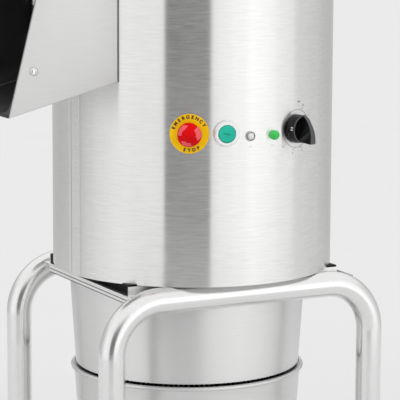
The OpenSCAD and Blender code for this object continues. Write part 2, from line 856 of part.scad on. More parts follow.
module service_cover() {
    half = hatch_w / 2 + hatch_lap;
    pitch = (hatch_h - 12) / louvres;
    slot_w = hatch_w / 2 - 12;
    color("gainsboro") on_deck() difference() {
        intersection() {
            difference() {
                cylinder(r = drum_r + hatch_t, h = casing_h, $fn = 180);
                translate([0, 0, -1]) cylinder(r = drum_r, h = casing_h + 2, $fn = 180);
            }
            translate([-half, 0, hatch_z - hatch_lap])
                cube([2 * half, drum_r + past, hatch_h + 2 * hatch_lap]);
        }
        for (i = [0:louvres - 1], x = [-slot_w - 4, 4])
            translate([x, drum_r - past, hatch_z + 3 + (i + 0.5) * pitch])
                cube([slot_w, 2 * past, 6]);
    }
}

module cover_screws() {
    turn = asin((hatch_w / 2 + hatch_lap / 2) / drum_r);
    color("silver") for (az = [180 - turn, 180 + turn],
        z = [hatch_z - hatch_lap / 2, hatch_z + hatch_h + hatch_lap / 2])
        on_wall(az, z) translate([0, 0, hatch_t]) screw_head(9, 3);
}

// Button head with a round recess
module screw_head(d, h) {
    rotate_extrude() polygon([[0, h * 0.4], [d * 0.16, h * 0.55], [d * 0.2, h], [d * 0.3, h * 0.95],
        [d * 0.43, h * 0.66], [d * 0.5, h * 0.2], [d * 0.5, 0], [0, 0]]);
}

// Hose tail through the casing, with its lock nut outside
module water_inlet() {
    inside = 8;
    color("goldenrod") on_deck(inlet_z) translate([0, casing_in - inside, 0]) rotate([-90, 0, 0])
        difference() {
            union() {
                cylinder(d = inlet_d, h = inside + casing_t + inlet_out);
                translate([0, 0, inside + casing_t + 1])
                    cylinder(d = inlet_d + inlet_nut, h = inlet_d * 0.43, $fn = 6);
            }
            translate([0, 0, -1]) cylinder(d = inlet_d - 2 * inlet_wall, h = inlet_out + past);
        }
}

module spray_nozzle() {
    color("silver") on_deck(inlet_z) translate([0, casing_in - 8, 0]) rotate([90, 0, 0]) difference() {
        union() {
            cylinder(d = inlet_d, h = 10);
            translate([0, 0, 10 - eps]) cylinder(d1 = inlet_d, d2 = inlet_d - 8, h = 6);
        }
        translate([0, 0, -1]) cylinder(d = 5, h = 20);
    }
}

module cable_gland() {
    color("black") on_wall(150, hatch_z / 2) difference() {
        union() {
            seated(gland_d / 2, 5);
            cylinder(d = gland_d - 4, h = 16);
            translate([0, 0, 16 - eps]) cylinder(d1 = gland_d - 4, d2 = gland_d - 11, h = 5);
            translate([0, 0, -14]) cylinder(d = gland_d - 6.4, h = 16);
        }
        translate([0, 0, -past]) cylinder(d = gland_d / 2.4, h = 2 * past);
    }
}

// ---------- controls ----------

// Thin plate bent to the drum, round, with a hole for the switch
module stop_plate() {
    color("gold") intersection() {
        on_deck() difference() {
            cylinder(r = drum_r + plate_t, h = casing_h, $fn = 180);
            translate([0, 0, -1]) cylinder(r = drum_r, h = casing_h + 2, $fn = 180);
        }
        on_wall(stop_az, row_z) translate([0, 0, -past / 2]) ring(switch_hole_d / 2, plate_d / 2, past);
    }
}

module stop_body() {
    color("dimgray") on_wall(stop_az, row_z) difference() {
        union() {
            translate([0, 0, -switch_depth])
                cylinder(d = switch_hole_d - 0.4, h = switch_depth + plate_t + collar_h);
            translate([0, 0, plate_t]) cylinder(d = switch_hole_d + 7, h = collar_h);
            translate([-15, -20, -switch_depth]) cube([30, 40, switch_depth - 14]);
        }
        translate([0, 0, -14]) cylinder(d = stop_stem_d + 1, h = past);
    }
}

module stop_plunger() {
    low = stop_travel - 13;
    color("darkred") on_wall(stop_az, row_z) translate([0, 0, low])
        cylinder(d = stop_stem_d, h = mushroom_z + stop_socket - low);
}

// Mushroom head: crown, waist and a bore for its plunger
module stop_mushroom() {
    r = mushroom_d / 2;
    bore = stop_stem_d / 2 + running;
    crown = mushroom_h - stop_socket;
    color("red") on_wall(stop_az, row_z) translate([0, 0, mushroom_z]) rotate_extrude()
        polygon(concat([[bore, -1], [10, -1], [r - 3, 1], [r - 0.8, 2]],
            [for (a = [0:10:80]) [r * cos(a), stop_socket + crown * pow(sin(a), 1.35)]],
            [[0, mushroom_h], [0, stop_socket], [bore, stop_socket]]));
}

module start_bezel() {
    r = bezel_d / 2;
    color("silver") on_wall(button_az, row_z) {
        difference() {
            seated(r, bezel_h - 3);
            translate([0, 0, -1]) cylinder(d = start_d + 0.8, h = bezel_h + 2);
        }
        translate([0, 0, bezel_h - 3]) rotate_extrude()
            polygon([[start_d / 2 + 0.4, 0], [r, 0], [r - 0.6, 1.4], [r - 1.6, 2.5], [r - 2.8, 3],
                [start_d / 2 + 1, 3], [start_d / 2 + 0.4, 2.2]]);
        translate([0, 0, -switch_depth + 8]) difference() {
            cylinder(d = switch_hole_d - 0.4, h = switch_depth - 8 + 1);
            translate([0, 0, switch_depth - 20]) cylinder(d = 13, h = past);
        }
    }
}

module start_cap() {
    r = start_d / 2;
    base = start_travel + 1.6;
    top = bezel_h + start_proud;
    color("mediumseagreen") on_wall(button_az, row_z) {
        translate([0, 0, base]) rotate_extrude()
            polygon([[0, 0], [r, 0], [r, top - base - 1.4], [r - 0.5, top - base - 0.5],
                [r - 1.6, top - base], [0, top - base]]);
        translate([0, 0, -11 + start_travel]) cylinder(d = 12, h = 11 - start_travel + base + eps);
    }
}

module lamp_rings() {
    color("silver") for (az = lamp_azs) on_wall(az, row_z - lamp_drop) difference() {
        union() {
            seated(lamp_d / 2, lamp_h - 1);
            translate([0, 0, lamp_h - 1 - eps]) cylinder(d1 = lamp_d, d2 = lamp_d - 2, h = 1);
            translate([0, 0, -30]) cylinder(d = lens_d + 2.4, h = 31);
        }
        translate([0, 0, -16]) cylinder(d = lens_d, h = past);
    }
}

module clear_lens() {
    color("whitesmoke") on_wall(lamp_azs[0], row_z - lamp_drop) rotate_extrude()
        polygon([[0, -16], [lens_d / 2, -16], [lens_d / 2, lamp_h - 0.4], [lens_d * 0.42, lamp_h + 0.9],
            [lens_d * 0.26, lamp_h + 1.9], [0, lamp_h + 2.3]]);
}

// The green lens widens into a dome that sits on its ring
module green_lens() {
    slack = 0.3;
    rim = dome_h * 0.3;
    bulge = dome_h - rim;
    ball = (pow(dome_d / 2, 2) + pow(bulge, 2)) / (2 * bulge);
    color("limegreen") on_wall(lamp_azs[1], row_z - lamp_drop) {
        translate([0, 0, -16]) cylinder(d = lens_d, h = 16 + lamp_h + 1);
        intersection() {
            translate([0, 0, lamp_h]) cylinder(d = dome_d, h = dome_h);
            translate([0, 0, lamp_h + dome_h - ball]) sphere(r = ball);
        }
        difference() {
            translate([0, 0, slack]) cylinder(d = dome_d, h = lamp_h);
            translate([0, 0, -past]) cylinder(d = lamp_d + slack, h = past + lamp_h);
        }
    }
}

// Clockwork timer behind the wall, with its bush through the casing
module timer_body() {
    color("dimgray") on_wall(timer_az, row_z) difference() {
        union() {
            translate([-24, -24, -switch_depth]) cube([48, 48, switch_depth - 12]);
            translate([0, 0, -13]) cylinder(d = spindle_d + 3.6, h = 14);
        }
        translate([0, 0, -30]) cylinder(d = spindle_d + 2 * running, h = past);
    }
}

// Timer knob: tall round skirt with a hollow face, and an upright blade that narrows to its top
module timer_knob() {
    r = knob_d / 2;
    face_r = r - 2.4;
    face_z = knob_gap + skirt_h;
    span = r * 1.53;
    ridge_r = (pow(grip_h, 2) + pow(span, 2)) / (2 * grip_h);
    color("black") on_wall(timer_az, row_z) {
        translate([0, 0, knob_gap]) difference() {
            rotate_extrude()
                polygon([[0, 0], [r, 0], [r, 1], [r - 1.6, skirt_h - 0.8], [face_r, skirt_h], [0, skirt_h]]);
            translate([0, 0, skirt_h - grip_well])
                cylinder(r1 = face_r - 4, r2 = face_r - 1, h = grip_well + eps);
        }
        intersection() {
            translate([0, 0, face_z - grip_well - 1]) linear_extrude(grip_h + grip_well + 1)
                polygon([[-grip_w / 2, -0.87 * r], [grip_w / 2, -0.87 * r], [grip_tip / 2, r],
                    [-grip_tip / 2, r]]);
            translate([0, 0, knob_gap]) cylinder(r = face_r, h = skirt_h + grip_h);
            translate([-past / 2, 0.94 * r - span, face_z + grip_h - ridge_r]) rotate([0, 90, 0])
                cylinder(r = ridge_r, h = past);
        }
        translate([0, 0, -28]) cylinder(d = spindle_d, h = 28 + knob_gap + 1);
    }
}

// ---------- chute ----------

// Side view of the chute, shrunk by inset all round, in X and Z
module chute_profile(inset) {
    rise = inset / cos(chute_slope);
    low = lip_z + rise;
    high = roof_z - inset;
    floor_at_end = low + (chute_reach - chute_end) * mouth_lean;
    polygon([[-chute_reach, low], [-chute_end, floor_at_end], [-chute_end, high],
        [-chute_reach + (high - lip_z) * mouth_lean, high]]);
}

module chute_block(inset, w) {
    translate([0, w / 2, 0]) rotate([90, 0, 0]) linear_extrude(w) chute_profile(inset);
}

// The same side view run past the mouth and the root, to open both ends
module chute_bore(inset, w) {
    rise = inset / cos(chute_slope);
    x0 = -chute_reach - past;
    x1 = -chute_end + past;
    translate([0, w / 2, 0]) rotate([90, 0, 0]) linear_extrude(w)
        polygon([[x0, lip_z + rise + (x0 + chute_reach) * mouth_lean],
            [x1, lip_z + rise + (x1 + chute_reach) * mouth_lean],
            [x1, roof_z - inset], [x0, roof_z - inset]]);
}

module clear_of_drum(gap) {
    difference() {
        children();
        cylinder(r = drum_r + gap, h = casing_h, $fn = 180);
    }
}

module chute_shell() {
    color("gainsboro") on_deck() clear_of_drum(gasket_t) difference() {
        chute_block(0, chute_w);
        chute_bore(chute_t, chute_in_w);
    }
}

// Rubber between the chute's cut edge and the drum
module chute_gasket() {
    color("black") on_deck() clear_of_drum(0) intersection() {
        difference() {
            chute_block(0, chute_w);
            chute_bore(gasket_w, chute_w - 2 * gasket_w);
        }
        cylinder(r = drum_r + gasket_t, h = casing_h, $fn = 180);
    }
}

// Black sleeve in the chute that ends flush with the mouth
module chute_liner() {
    color("#26272a") on_deck() clear_of_drum(gasket_t) difference() {
        intersection() {
            chute_block(0, chute_w);
            chute_bore(chute_t, chute_in_w);
        }
        chute_bore(chute_t + guard_t, guard_in_w);
    }
}

module liner_screws() {
    x = -chute_reach + guard_screw_in * cos(chute_slope) + guard_screw_up * sin(chute_slope);
    z = lip_z + guard_screw_in * sin(chute_slope) + guard_screw_up * cos(chute_slope);
    color("silver") on_deck(z) for (side = [0, 1]) mirror([0, side, 0])
        translate([x, -chute_w / 2, 0]) rotate([90, 0, 0]) screw_head(guard_screw_d, 4);
}

// ---------- discharge door ----------

module knuckle(z0, z1, bore) {
    translate([hinge_x, hinge_y, z0]) ring(bore / 2, knuckle_d / 2, z1 - z0);
}

// Frame round the opening with the two outer knuckles of the hinge
module gate_frame() {
    color("silver") on_deck() {
        difference() {
            wall_patch(drum_r, frame_r, -frame_y, frame_y, frame_z, gate_top + frame_w);
            translate([-drum_r - past, -gate_w / 2, gate_z]) cube([2 * past, gate_w, gate_h]);
        }
        difference() {
            for (span = [[hinge_low, barrel_low - knuckle_gap], [barrel_high + knuckle_gap, hinge_high]]) {
                knuckle(span[0], span[1], hinge_pin_d);
                translate([hinge_x, hinge_y - 3, span[0]]) cube([drum_r / 5, 5, span[1] - span[0]]);
            }
            translate([hinge_x, hinge_y, 0]) cylinder(d = hinge_pin_d, h = casing_h);
            cylinder(r = drum_r, h = casing_h, $fn = 180);
        }
    }
}

module gate_hinge_pin() {
    color("silver") on_deck(hinge_low - 2) translate([hinge_x, hinge_y, 0]) {
        cylinder(d = hinge_pin_d, h = hinge_high - hinge_low + 4);
        translate([0, 0, hinge_high - hinge_low + 4 - eps]) cylinder(d = hinge_pin_d + 3, h = 2);
    }
}

// Moulded door that follows the drum, with a plug in the opening and the middle knuckle
module gate_door() {
    clear_y = gate_w / 2 - door_gap;
    color("#1c1c1e") on_deck() difference() {
        union() {
            wall_patch(door_in, door_out, door_near_y, door_far_y, door_low, door_high);
            wall_patch(door_in - plug_t, door_in + 1, -clear_y, clear_y, gate_z + door_gap,
                gate_top - door_gap);
            knuckle(barrel_low, barrel_high, hinge_pin_d + 2 * running);
            difference() {
                translate([hinge_x, door_far_y - 12, barrel_low])
                    cube([knuckle_d / 2 + 2, hinge_y - door_far_y + 12, barrel_high - barrel_low]);
                cylinder(r = door_in, h = casing_h, $fn = 180);
            }
            translate([latch_x, latch_y, latch_z]) rotate([0, 90, 0])
                cylinder(d = latch_hub_d + 4, h = latch_boss + latch_pin_in);
        }
        translate([hinge_x, hinge_y, 0]) cylinder(d = hinge_pin_d + 2 * running, h = casing_h);
        translate([latch_x - 1, latch_y, latch_z]) rotate([0, 90, 0])
            cylinder(d = latch_pin_d + 2 * running, h = latch_pin_in + 2);
        for (z = [-34, 0, 34])
            wall_patch(door_out - 4, door_out + 1, -28, 52, latch_z + z - 11, latch_z + z + 11);
    }
}

module gate_seal() {
    color("black") on_deck() difference() {
        wall_patch(frame_r + 0.3, door_in, 1 - frame_y, frame_y - 5, frame_z + 2, gate_top + frame_w - 1);
        translate([-drum_r - past, -gate_w / 2 + 1, gate_z + 1]) cube([2 * past, gate_w - 2, gate_h - 2]);
    }
}

// Quarter-turn lever: hangs free at rest, and its tongue turns behind the keeper
module latch_lever() {
    root = latch_hub_d * 0.42;
    tip = latch_hub_d / 4;
    color("black") on_deck(latch_z) translate([latch_x, latch_y, 0]) rotate([0, -90, 0]) {
        cylinder(d = latch_hub_d, h = handle_off + latch_t);
        translate([0, 0, -latch_pin_in]) cylinder(d = latch_pin_d, h = latch_pin_in + eps);
        translate([0, 0, handle_off]) {
            linear_extrude(latch_t) polygon([[0, -root], [-latch_l, -tip], [-latch_l, tip], [0, root]]);
            translate([-latch_l, 0, 0]) cylinder(r = tip, h = latch_t);
        }
        translate([0, -latch_tongue_w / 2, 0]) cube([latch_y - tongue_y, latch_tongue_w, latch_t]);
    }
}

module latch_keeper() {
    hook = latch_x - latch_t - latch_gap;
    wall = -guard_in_w / 2;
    color("silver") on_deck(latch_z - 14) {
        translate([hook - 4, wall, 0]) cube([4, 11, 28]);
        translate([hook - 4, wall, 0]) cube([40, 2, 28]);
    }
}

// ---------- lid ----------

module lid_shell() {
    w = window_d / 2 - window_lap;
    crown = window_z;
    color("gainsboro") on_deck() {
        rotate_extrude($fn = 180) polygon([
            [lid_r - lid_t, lid_low], [lid_r, lid_low], [lid_r, lid_top - 6], [lid_r - 2, lid_top - 2],
            [lid_r - 8, lid_top + 1], [window_d / 2 + 12, crown], [w, crown], [w, crown - lid_t],
            [window_d / 2 + 10, crown - lid_t], [lid_r - 9, lid_top + 1 - lid_t],
            [lid_r - lid_t, lid_top - 6]]);
        lid_leaf();
    }
}

// Strap from the lid's skirt to the hinge, with its knuckle
module lid_leaf() {
    inner = bracket_w / 2 + 1;
    for (side = [0, 1]) mirror([side, 0, 0]) difference() {
        union() {
            translate([inner, lid_pin_y, lid_pin_z]) rotate([0, 90, 0])
                cylinder(d = lid_pin_d + bracket_plate, h = strap_w);
            translate([inner, lid_r - 4, lid_pin_z - bracket_plate / 2])
                cube([strap_w, lid_pin_y - lid_r + 4, bracket_plate]);
        }
        translate([inner - 1, lid_pin_y, lid_pin_z]) rotate([0, 90, 0])
            cylinder(d = lid_pin_d + 2 * running, h = strap_w + 2);
        translate([0, 0, lid_pin_z - past]) cylinder(r = lid_r - lid_t, h = 2 * past, $fn = 180);
    }
}

// Bracket on the casing with the hinge pin of the lid
module lid_bracket() {
    half = bracket_w / 2;
    low = casing_h - bracket_drop;
    shelf = casing_h - bracket_drop / 2 - 1;
    arm = bracket_plate / 2;
    pin = half + strap_w + 5;
    color("silver") on_deck() {
        difference() {
            translate([-half, drum_r - arm, low]) cube([2 * half, bracket_plate, bracket_drop - rim_t]);
            translate([0, 0, low - 1]) cylinder(r = drum_r, h = bracket_drop + 2, $fn = 180);
        }
        translate([-half, drum_r + arm - 1, shelf - arm])
            cube([2 * half, lid_pin_out - arm + 1, bracket_plate]);
        translate([-half, lid_pin_y - arm, shelf]) cube([2 * half, bracket_plate, lid_pin_z - shelf]);
        translate([-half, lid_pin_y, lid_pin_z]) rotate([0, 90, 0])
            cylinder(d = lid_pin_d + bracket_plate, h = 2 * half);
        translate([-pin, lid_pin_y, lid_pin_z]) rotate([0, 90, 0]) cylinder(d = lid_pin_d, h = 2 * pin);
    }
}

module lid_window() {
    color([0.8, 0.9, 0.95, 0.4]) on_deck(window_z) cylinder(d = window_d, h = window_t);
}

module window_bolts() {
    color("silver") for (i = [0:window_screws - 1]) on_deck(window_z + window_t)
        rotate([0, 0, (i + 0.5) * 360 / window_screws])
            translate([window_d / 2 - window_lap / 2, 0, 0]) screw_head(9, 3.5);
}

module lid_gasket() {
    w = window_d / 2 - window_lap;
    color("black") on_deck(window_z) difference() {
        ring(window_d / 2, window_d / 2 + 3, window_t + 1);
        translate([0, 0, -1]) cylinder(r = w, h = 2);
    }
}

// Bow handle at the front of the lid
module lid_handle() {
    half = bow_w / 2;
    y = -lid_r - bow_out;
    foot_t = bow_d * 0.7;
    color("black") on_deck(lid_top - bow_d / 2 - 4) {
        for (side = [0, 1]) mirror([side, 0, 0]) difference() {
            translate([half - bow_foot_w, y, -foot_t / 2]) cube([bow_foot_w, bow_out * 2, foot_t]);
            translate([0, 0, -foot_t]) cylinder(r = lid_r, h = 2 * foot_t, $fn = 180);
        }
        translate([-half, y, 0]) rotate([0, 90, 0]) cylinder(d = bow_d, h = 2 * half);
    }
}

// ---------- peel container ----------

// The container's wall as a solid cone, shrunk by inset
module pail_cone(inset, past_ends) {
    lean = inset / cos(draft);
    grow = past_ends * tan(draft);
    translate([0, 0, -past_ends]) cylinder(r1 = pail_foot_r - lean - grow, r2 = pail_r - lean + grow,
        h = pail_h + 2 * past_ends, $fn = 180);
}

// Pail with a rolled rim and a drain spout at the back
module peel_container() {
    roll_r = pail_r - pail_t + pail_roll;
    color("silver") about_hopper(pail_low) {
        difference() {
            union() {
                pail_cone(0, 0);
                translate([0, 0, spout_z]) rotate([-90, 0, 0]) {
                    cylinder(d = spout_d, h = pail_foot_r + spout_out);
                    cylinder(d = spout_d + 12, h = pail_foot_r + collar_out);
                }
                translate([0, 0, pail_h - 2 * pail_roll]) rotate_extrude($fn = 180)
                    translate([roll_r, pail_roll]) circle(r = pail_roll, $fn = 32);
            }
            intersection() {
                pail_cone(pail_t, 1);
                translate([0, 0, pail_t]) cylinder(r = pail_r, h = pail_h, $fn = 180);
            }
            translate([0, 0, spout_z]) rotate([-90, 0, 0])
                cylinder(d = spout_d - 3, h = pail_foot_r + spout_out + 1);
        }
    }
}

// Sieve that hangs in the container's mouth
module filter_basket() {
    slant = tan(draft) * basket_h;
    lip_r = pail_r - pail_t - 0.5;
    color("lightgray") about_hopper(pail_low + pail_h - basket_h) rotate_extrude($fn = 180)
        polygon([[0, 0], [basket_r - slant, 0], [basket_r, basket_h - 3], [lip_r, basket_h - 3],
            [lip_r, basket_h - 1.5], [basket_r - 1.5, basket_h - 1.5],
            [basket_r - slant - 1.5, 1.5], [0, 1.5]]);
}

module container_handle() {
    z = pail_low + pail_h * 0.42;
    r = pail_foot_r + (z - pail_low) * tan(draft);
    half = grip_wide / 2;
    low = -grip_foot / 2;
    color("silver") about_hopper(z) {
        for (side = [0, 1]) mirror([side, 0, 0]) difference() {
            translate([half - grip_foot, -r - grip_out, low]) cube([grip_foot, 2.5 * grip_out, grip_foot]);
            translate([0, 0, low - eps]) cylinder(r1 = r + low * tan(draft), r2 = r - low * tan(draft),
                h = grip_foot + 2 * eps, $fn = 180);
        }
        translate([-half, -r - grip_out, 0]) rotate([0, 90, 0]) cylinder(d = grip_d, h = 2 * half);
    }
}

front_arch();
rear_arch();
feet();
stretchers();
shelf();
deck_tray();
base_pad();
pad_strips();
casing();
base_plate();
top_rim();
chamber_floor();
abrasive_liner();
drain_pipe();
peel_hopper();
bearing_housing();
bearings();
motor();
motor_bracket();
drive_belt();
service_cover();
cover_screws();
water_inlet();
spray_nozzle();
cable_gland();
stop_plate();
stop_body();
start_bezel();
lamp_rings();
clear_lens();
green_lens();
timer_body();
chute_shell();
chute_gasket();
chute_liner();
liner_screws();
gate_frame();
gate_hinge_pin();
latch_keeper();
lid_bracket();
peeling_disc();
drive_shaft();
driven_pulley();
disc_cap();
motor_pulley();
lid_shell();
lid_window();
window_bolts();
lid_gasket();
lid_handle();
gate_door();
gate_seal();
latch_lever();
stop_plunger();
stop_mushroom();
start_cap();
timer_knob();
peel_container();
filter_basket();
container_handle();
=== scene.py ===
"""Finishes, small parts and studio of a commercial electric potato peeler.

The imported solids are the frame. Each sub-assembly is a class that dresses its
solids, makes the parts that the solids leave out, and lets them ride on the
body that carries them. All lengths are in metres.
"""

import json
import logging
import math
from contextlib import contextmanager
from dataclasses import dataclass
from enum import Enum
from typing import Callable, Iterator, Sequence

import bmesh
import bpy
from mathutils import Matrix, Vector

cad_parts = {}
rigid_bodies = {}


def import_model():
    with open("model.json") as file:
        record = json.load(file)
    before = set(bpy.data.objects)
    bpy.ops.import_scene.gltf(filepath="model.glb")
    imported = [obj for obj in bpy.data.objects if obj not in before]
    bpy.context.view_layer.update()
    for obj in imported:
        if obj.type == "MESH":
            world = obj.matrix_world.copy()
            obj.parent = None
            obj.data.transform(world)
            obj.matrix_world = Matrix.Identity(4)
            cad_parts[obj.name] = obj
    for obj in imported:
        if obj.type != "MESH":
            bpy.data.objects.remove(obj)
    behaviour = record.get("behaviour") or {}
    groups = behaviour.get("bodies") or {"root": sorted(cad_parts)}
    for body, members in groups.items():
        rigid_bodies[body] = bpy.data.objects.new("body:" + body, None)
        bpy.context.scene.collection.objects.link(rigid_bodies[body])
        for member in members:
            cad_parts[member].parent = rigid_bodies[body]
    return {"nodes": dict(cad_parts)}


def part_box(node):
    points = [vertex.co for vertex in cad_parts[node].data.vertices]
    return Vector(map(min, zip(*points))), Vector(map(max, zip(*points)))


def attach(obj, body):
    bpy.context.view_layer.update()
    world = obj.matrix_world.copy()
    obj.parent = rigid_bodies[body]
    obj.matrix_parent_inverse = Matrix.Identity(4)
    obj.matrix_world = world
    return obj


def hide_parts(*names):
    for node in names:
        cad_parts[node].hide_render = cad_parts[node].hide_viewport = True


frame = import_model()

LOG = logging.getLogger("potato_peeler")
MM = 0.001
QUARTER_TURN = Matrix.Rotation(math.radians(90), 4, "X")
Point = tuple[float, float]
Colour = tuple[float, float, float]


# ---------------------------------------------------------------- places

@dataclass(frozen=True)
class Drum:
    """The drum's own lines, which most parts are placed by."""

    axis_x: float
    radius: float
    deck: float
    top: float

    @classmethod
    def from_frame(cls) -> "Drum":
        """Reads the drum's axis, radius and height from the casing."""
        low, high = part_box("casing")
        return cls((low.x + high.x) / 2, (high.x - low.x) / 2, low.z, high.z)

    def turn_of(self, node: str) -> float:
        """Turn of a fitting round the axis, in degrees from the front, read at its foot.

        Args:
            node: the fitting's solid.

        Returns:
            The turn, to the right of the front.
        """
        vertices = frame["nodes"][node].data.vertices
        places = [(vertex.co.x - self.axis_x, vertex.co.y) for vertex in vertices]
        depth = min(math.hypot(x, y) for x, y in places)
        feet = [math.atan2(x, -y) for x, y in places if math.hypot(x, y) < depth + 0.2 * MM]
        return math.degrees(sum(feet) / len(feet))

    def on_wall(self, turn: float, height: float, lift: float = 0.0) -> Matrix:
        """Frame on the wall: +Z points out of it, +Y up.

        Args:
            turn: degrees from the front, towards the right.
            height: height above the floor.
            lift: distance of the frame's origin from the wall.

        Returns:
            The matrix from that frame to the machine's frame.
        """
        return (Matrix.Translation((self.axis_x, 0, height))
                @ Matrix.Rotation(math.radians(turn), 4, "Z")
                @ Matrix.Translation((0, -self.radius - lift, 0))
                @ QUARTER_TURN)

    def wrap(self, mesh: bpy.types.Mesh, turn: float, height: float) -> None:
        """Bends a flat mesh round the drum, with its Z as distance from the wall.

        Args:
            mesh: the mesh, with X along the wall and Y up.
            turn: turn of its X 0, in degrees from the front.
            height: height of its Y 0 above the floor.
        """
        start = math.radians(turn)
        for vertex in mesh.vertices:
            x, y, z = vertex.co
            angle = start + x / self.radius
            reach = self.radius + z
            vertex.co = (self.axis_x + reach * math.sin(angle),
                         -reach * math.cos(angle), height + y)
        mesh.update()


DRUM = Drum.from_frame()


def middle_of(node: str) -> Vector:
    """Middle of a node's box."""
    low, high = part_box(node)
    return (low + high) / 2


# ---------------------------------------------------------------- finishes

class Grain(Enum):
    """How the polishing lines of a sheet run: noise to a metre along X, Y and Z."""

    LEVEL = (38.0, 38.0, 620.0)
    ALONG_X = (6.0, 900.0, 900.0)


def scaled(colour: Colour, factor: float) -> Colour:
    """A colour made lighter or darker by a factor."""
    return tuple(min(1.0, c * factor) for c in colour)


class Tree:
    """A node tree being built, with short ways to add, feed and join its nodes."""

    def __init__(self, tree: bpy.types.NodeTree) -> None:
        """Keeps the tree that the nodes go into."""
        self.tree = tree

    def node(self, kind: str, **options: object) -> bpy.types.Node:
        """Adds a node.

        Args:
            kind: the node's type name.
            options: attributes of the node.

        Returns:
            The new node.
        """
        made = self.tree.nodes.new(kind)
        for key, value in options.items():
            setattr(made, key, value)
        return made

    def link(self, source: bpy.types.NodeSocket, target: bpy.types.NodeSocket) -> None:
        """Joins two sockets."""
        self.tree.links.new(source, target)

    def feed(self, slot: bpy.types.NodeSocket, value: object) -> None:
        """Gives an input another node's socket or a constant.

        Args:
            slot: the input.
            value: the socket or the constant.
        """
        if isinstance(value, bpy.types.NodeSocket):
            self.link(value, slot)
        else:
            slot.default_value = value

    def fill(self, node: bpy.types.Node, **values: object) -> bpy.types.Node:
        """Feeds a node's inputs by name.

        Args:
            node: the node.
            values: sockets or constants; spaces in a name are written as underscores.

        Returns:
            The same node.
        """
        for key, value in values.items():
            self.feed(node.inputs[key.replace("_", " ")], value)
        return node

    def calc(self, operation: str, *values: object) -> bpy.types.NodeSocket:
        """One step of arithmetic on sockets or numbers.

        Args:
            operation: name of the step.
            values: what goes into it, in order.

        Returns:
            The socket of the result.
        """
        made = self.node("ShaderNodeMath", operation=operation)
        for slot, value in zip(made.inputs, values):
            self.feed(slot, value)
        return made.outputs[0]

    def vector(self, **parts: object) -> bpy.types.NodeSocket:
        """Vector of the given parts along X, Y and Z, with 0 for the others."""
        return self.fill(self.node("ShaderNodeCombineXYZ"), **parts).outputs[0]

    def spread(self, source: bpy.types.NodeSocket, low: float = 0.0, high: float = 1.0,
               from_low: float = 0.3, from_high: float = 0.7, curve: str = "LINEAR") -> bpy.types.NodeSocket:
        """Maps a number to another range.

        Args:
            source: the number.
            low: result at from_low and below it.
            high: result at from_high and above it.
            from_low: start of the range that is read; the usual range is a soft noise's.
            from_high: end of the range that is read.
            curve: kind of passage between them.

        Returns:
            The socket of the result.
        """
        made = self.fill(self.node("ShaderNodeMapRange", interpolation_type=curve), Value=source,
                         From_Min=from_low, From_Max=from_high, To_Min=low, To_Max=high)
        return made.outputs["Result"]

    def mixed(self, share: bpy.types.NodeSocket, first: object, second: object) -> bpy.types.NodeSocket:
        """Mixes two colours, each a socket or a constant, by a share.

        Args:
            share: 0 for the first colour, 1 for the second.
            first: one colour.
            second: the other colour.

        Returns:
            The socket of the mixed colour.
        """
        made = self.node("ShaderNodeMix", data_type="RGBA")
        colours = [slot for slot in made.inputs if slot.type == "RGBA"]
        for slot, value in zip(colours, (first, second)):
            self.feed(slot, value if isinstance(value, bpy.types.NodeSocket) else (*value, 1))
        self.link(share, made.inputs["Factor"])
        return [slot for slot in made.outputs if slot.type == "RGBA"][0]

    def blended(self, share: bpy.types.NodeSocket, first: bpy.types.NodeSocket,
                second: bpy.types.NodeSocket) -> bpy.types.NodeSocket:
        """Mixes two shaders by a share.

        Args:
            share: 0 for the first shader, 1 for the second.
            first: one shader.
            second: the other shader.

        Returns:
            The socket of the mixed shader.
        """
        made = self.node("ShaderNodeMixShader")
        for slot, source in zip(made.inputs, (share, first, second)):
            self.link(source, slot)
        return made.outputs[0]


class Bench(Tree):
    """A material being made: its tree, its shader and the patterns that paint it."""

    def __init__(self, name: str) -> None:
        """Starts an empty material with one Principled shader.

        Args:
            name: the material's name.
        """
        self.material = bpy.data.materials.new(name)
        self.material.use_nodes = True
        super().__init__(self.material.node_tree)
        self.shader = self.tree.nodes["Principled BSDF"]
        self.place = self.node("ShaderNodeTexCoord").outputs["Object"]

    def paint(self, **values: object) -> None:
        """Feeds the shader's inputs by name."""
        self.fill(self.shader, **values)

    def stretched(self, scale: Sequence[float]) -> bpy.types.NodeSocket:
        """Object coordinates, scaled along each axis."""
        made = self.fill(self.node("ShaderNodeMapping"), Vector=self.place, Scale=scale)
        return made.outputs["Vector"]

    def noise(self, scale: Sequence[float], detail: float = 3.0,
              rough: float = 0.6) -> bpy.types.NodeSocket:
        """Soft noise on object coordinates, from 0 to 1.

        Args:
            scale: noise to a metre along each axis.
            detail: number of finer layers in it.
            rough: strength of these layers.

        Returns:
            The socket of the noise.
        """
        made = self.fill(self.node("ShaderNodeTexNoise"), Vector=self.stretched(scale), Scale=1.0,
                         Detail=detail, Roughness=rough)
        return made.outputs["Fac"]

    def tones(self, source: bpy.types.NodeSocket, colour: Colour, dark: float,
              light: float) -> bpy.types.NodeSocket:
        """A colour that runs from a darker to a lighter tone with a noise."""
        return self.mixed(self.spread(source), scaled(colour, dark), scaled(colour, light))

    def bump(self, height: bpy.types.NodeSocket, strength: float, depth: float) -> None:
        """Gives the shader a bump from a height, depth in metres."""
        made = self.fill(self.node("ShaderNodeBump"), Height=height, Strength=strength, Distance=depth)
        self.paint(Normal=made.outputs["Normal"])


@dataclass(frozen=True)
class Finish:
    """Base of all finishes; one material is made for each and kept."""

    name: str

    def material(self) -> bpy.types.Material:
        """The finish's material, made when it is first asked for.

        Returns:
            The one material of this finish.
        """
        found = bpy.data.materials.get(self.name)
        if found is None:
            bench = Bench(self.name)
            self.dress(bench)
            found = bench.material
        return found

    def dress(self, bench: Bench) -> None:
        """Fills the bench's shader; each finish has its own way."""
        raise NotImplementedError


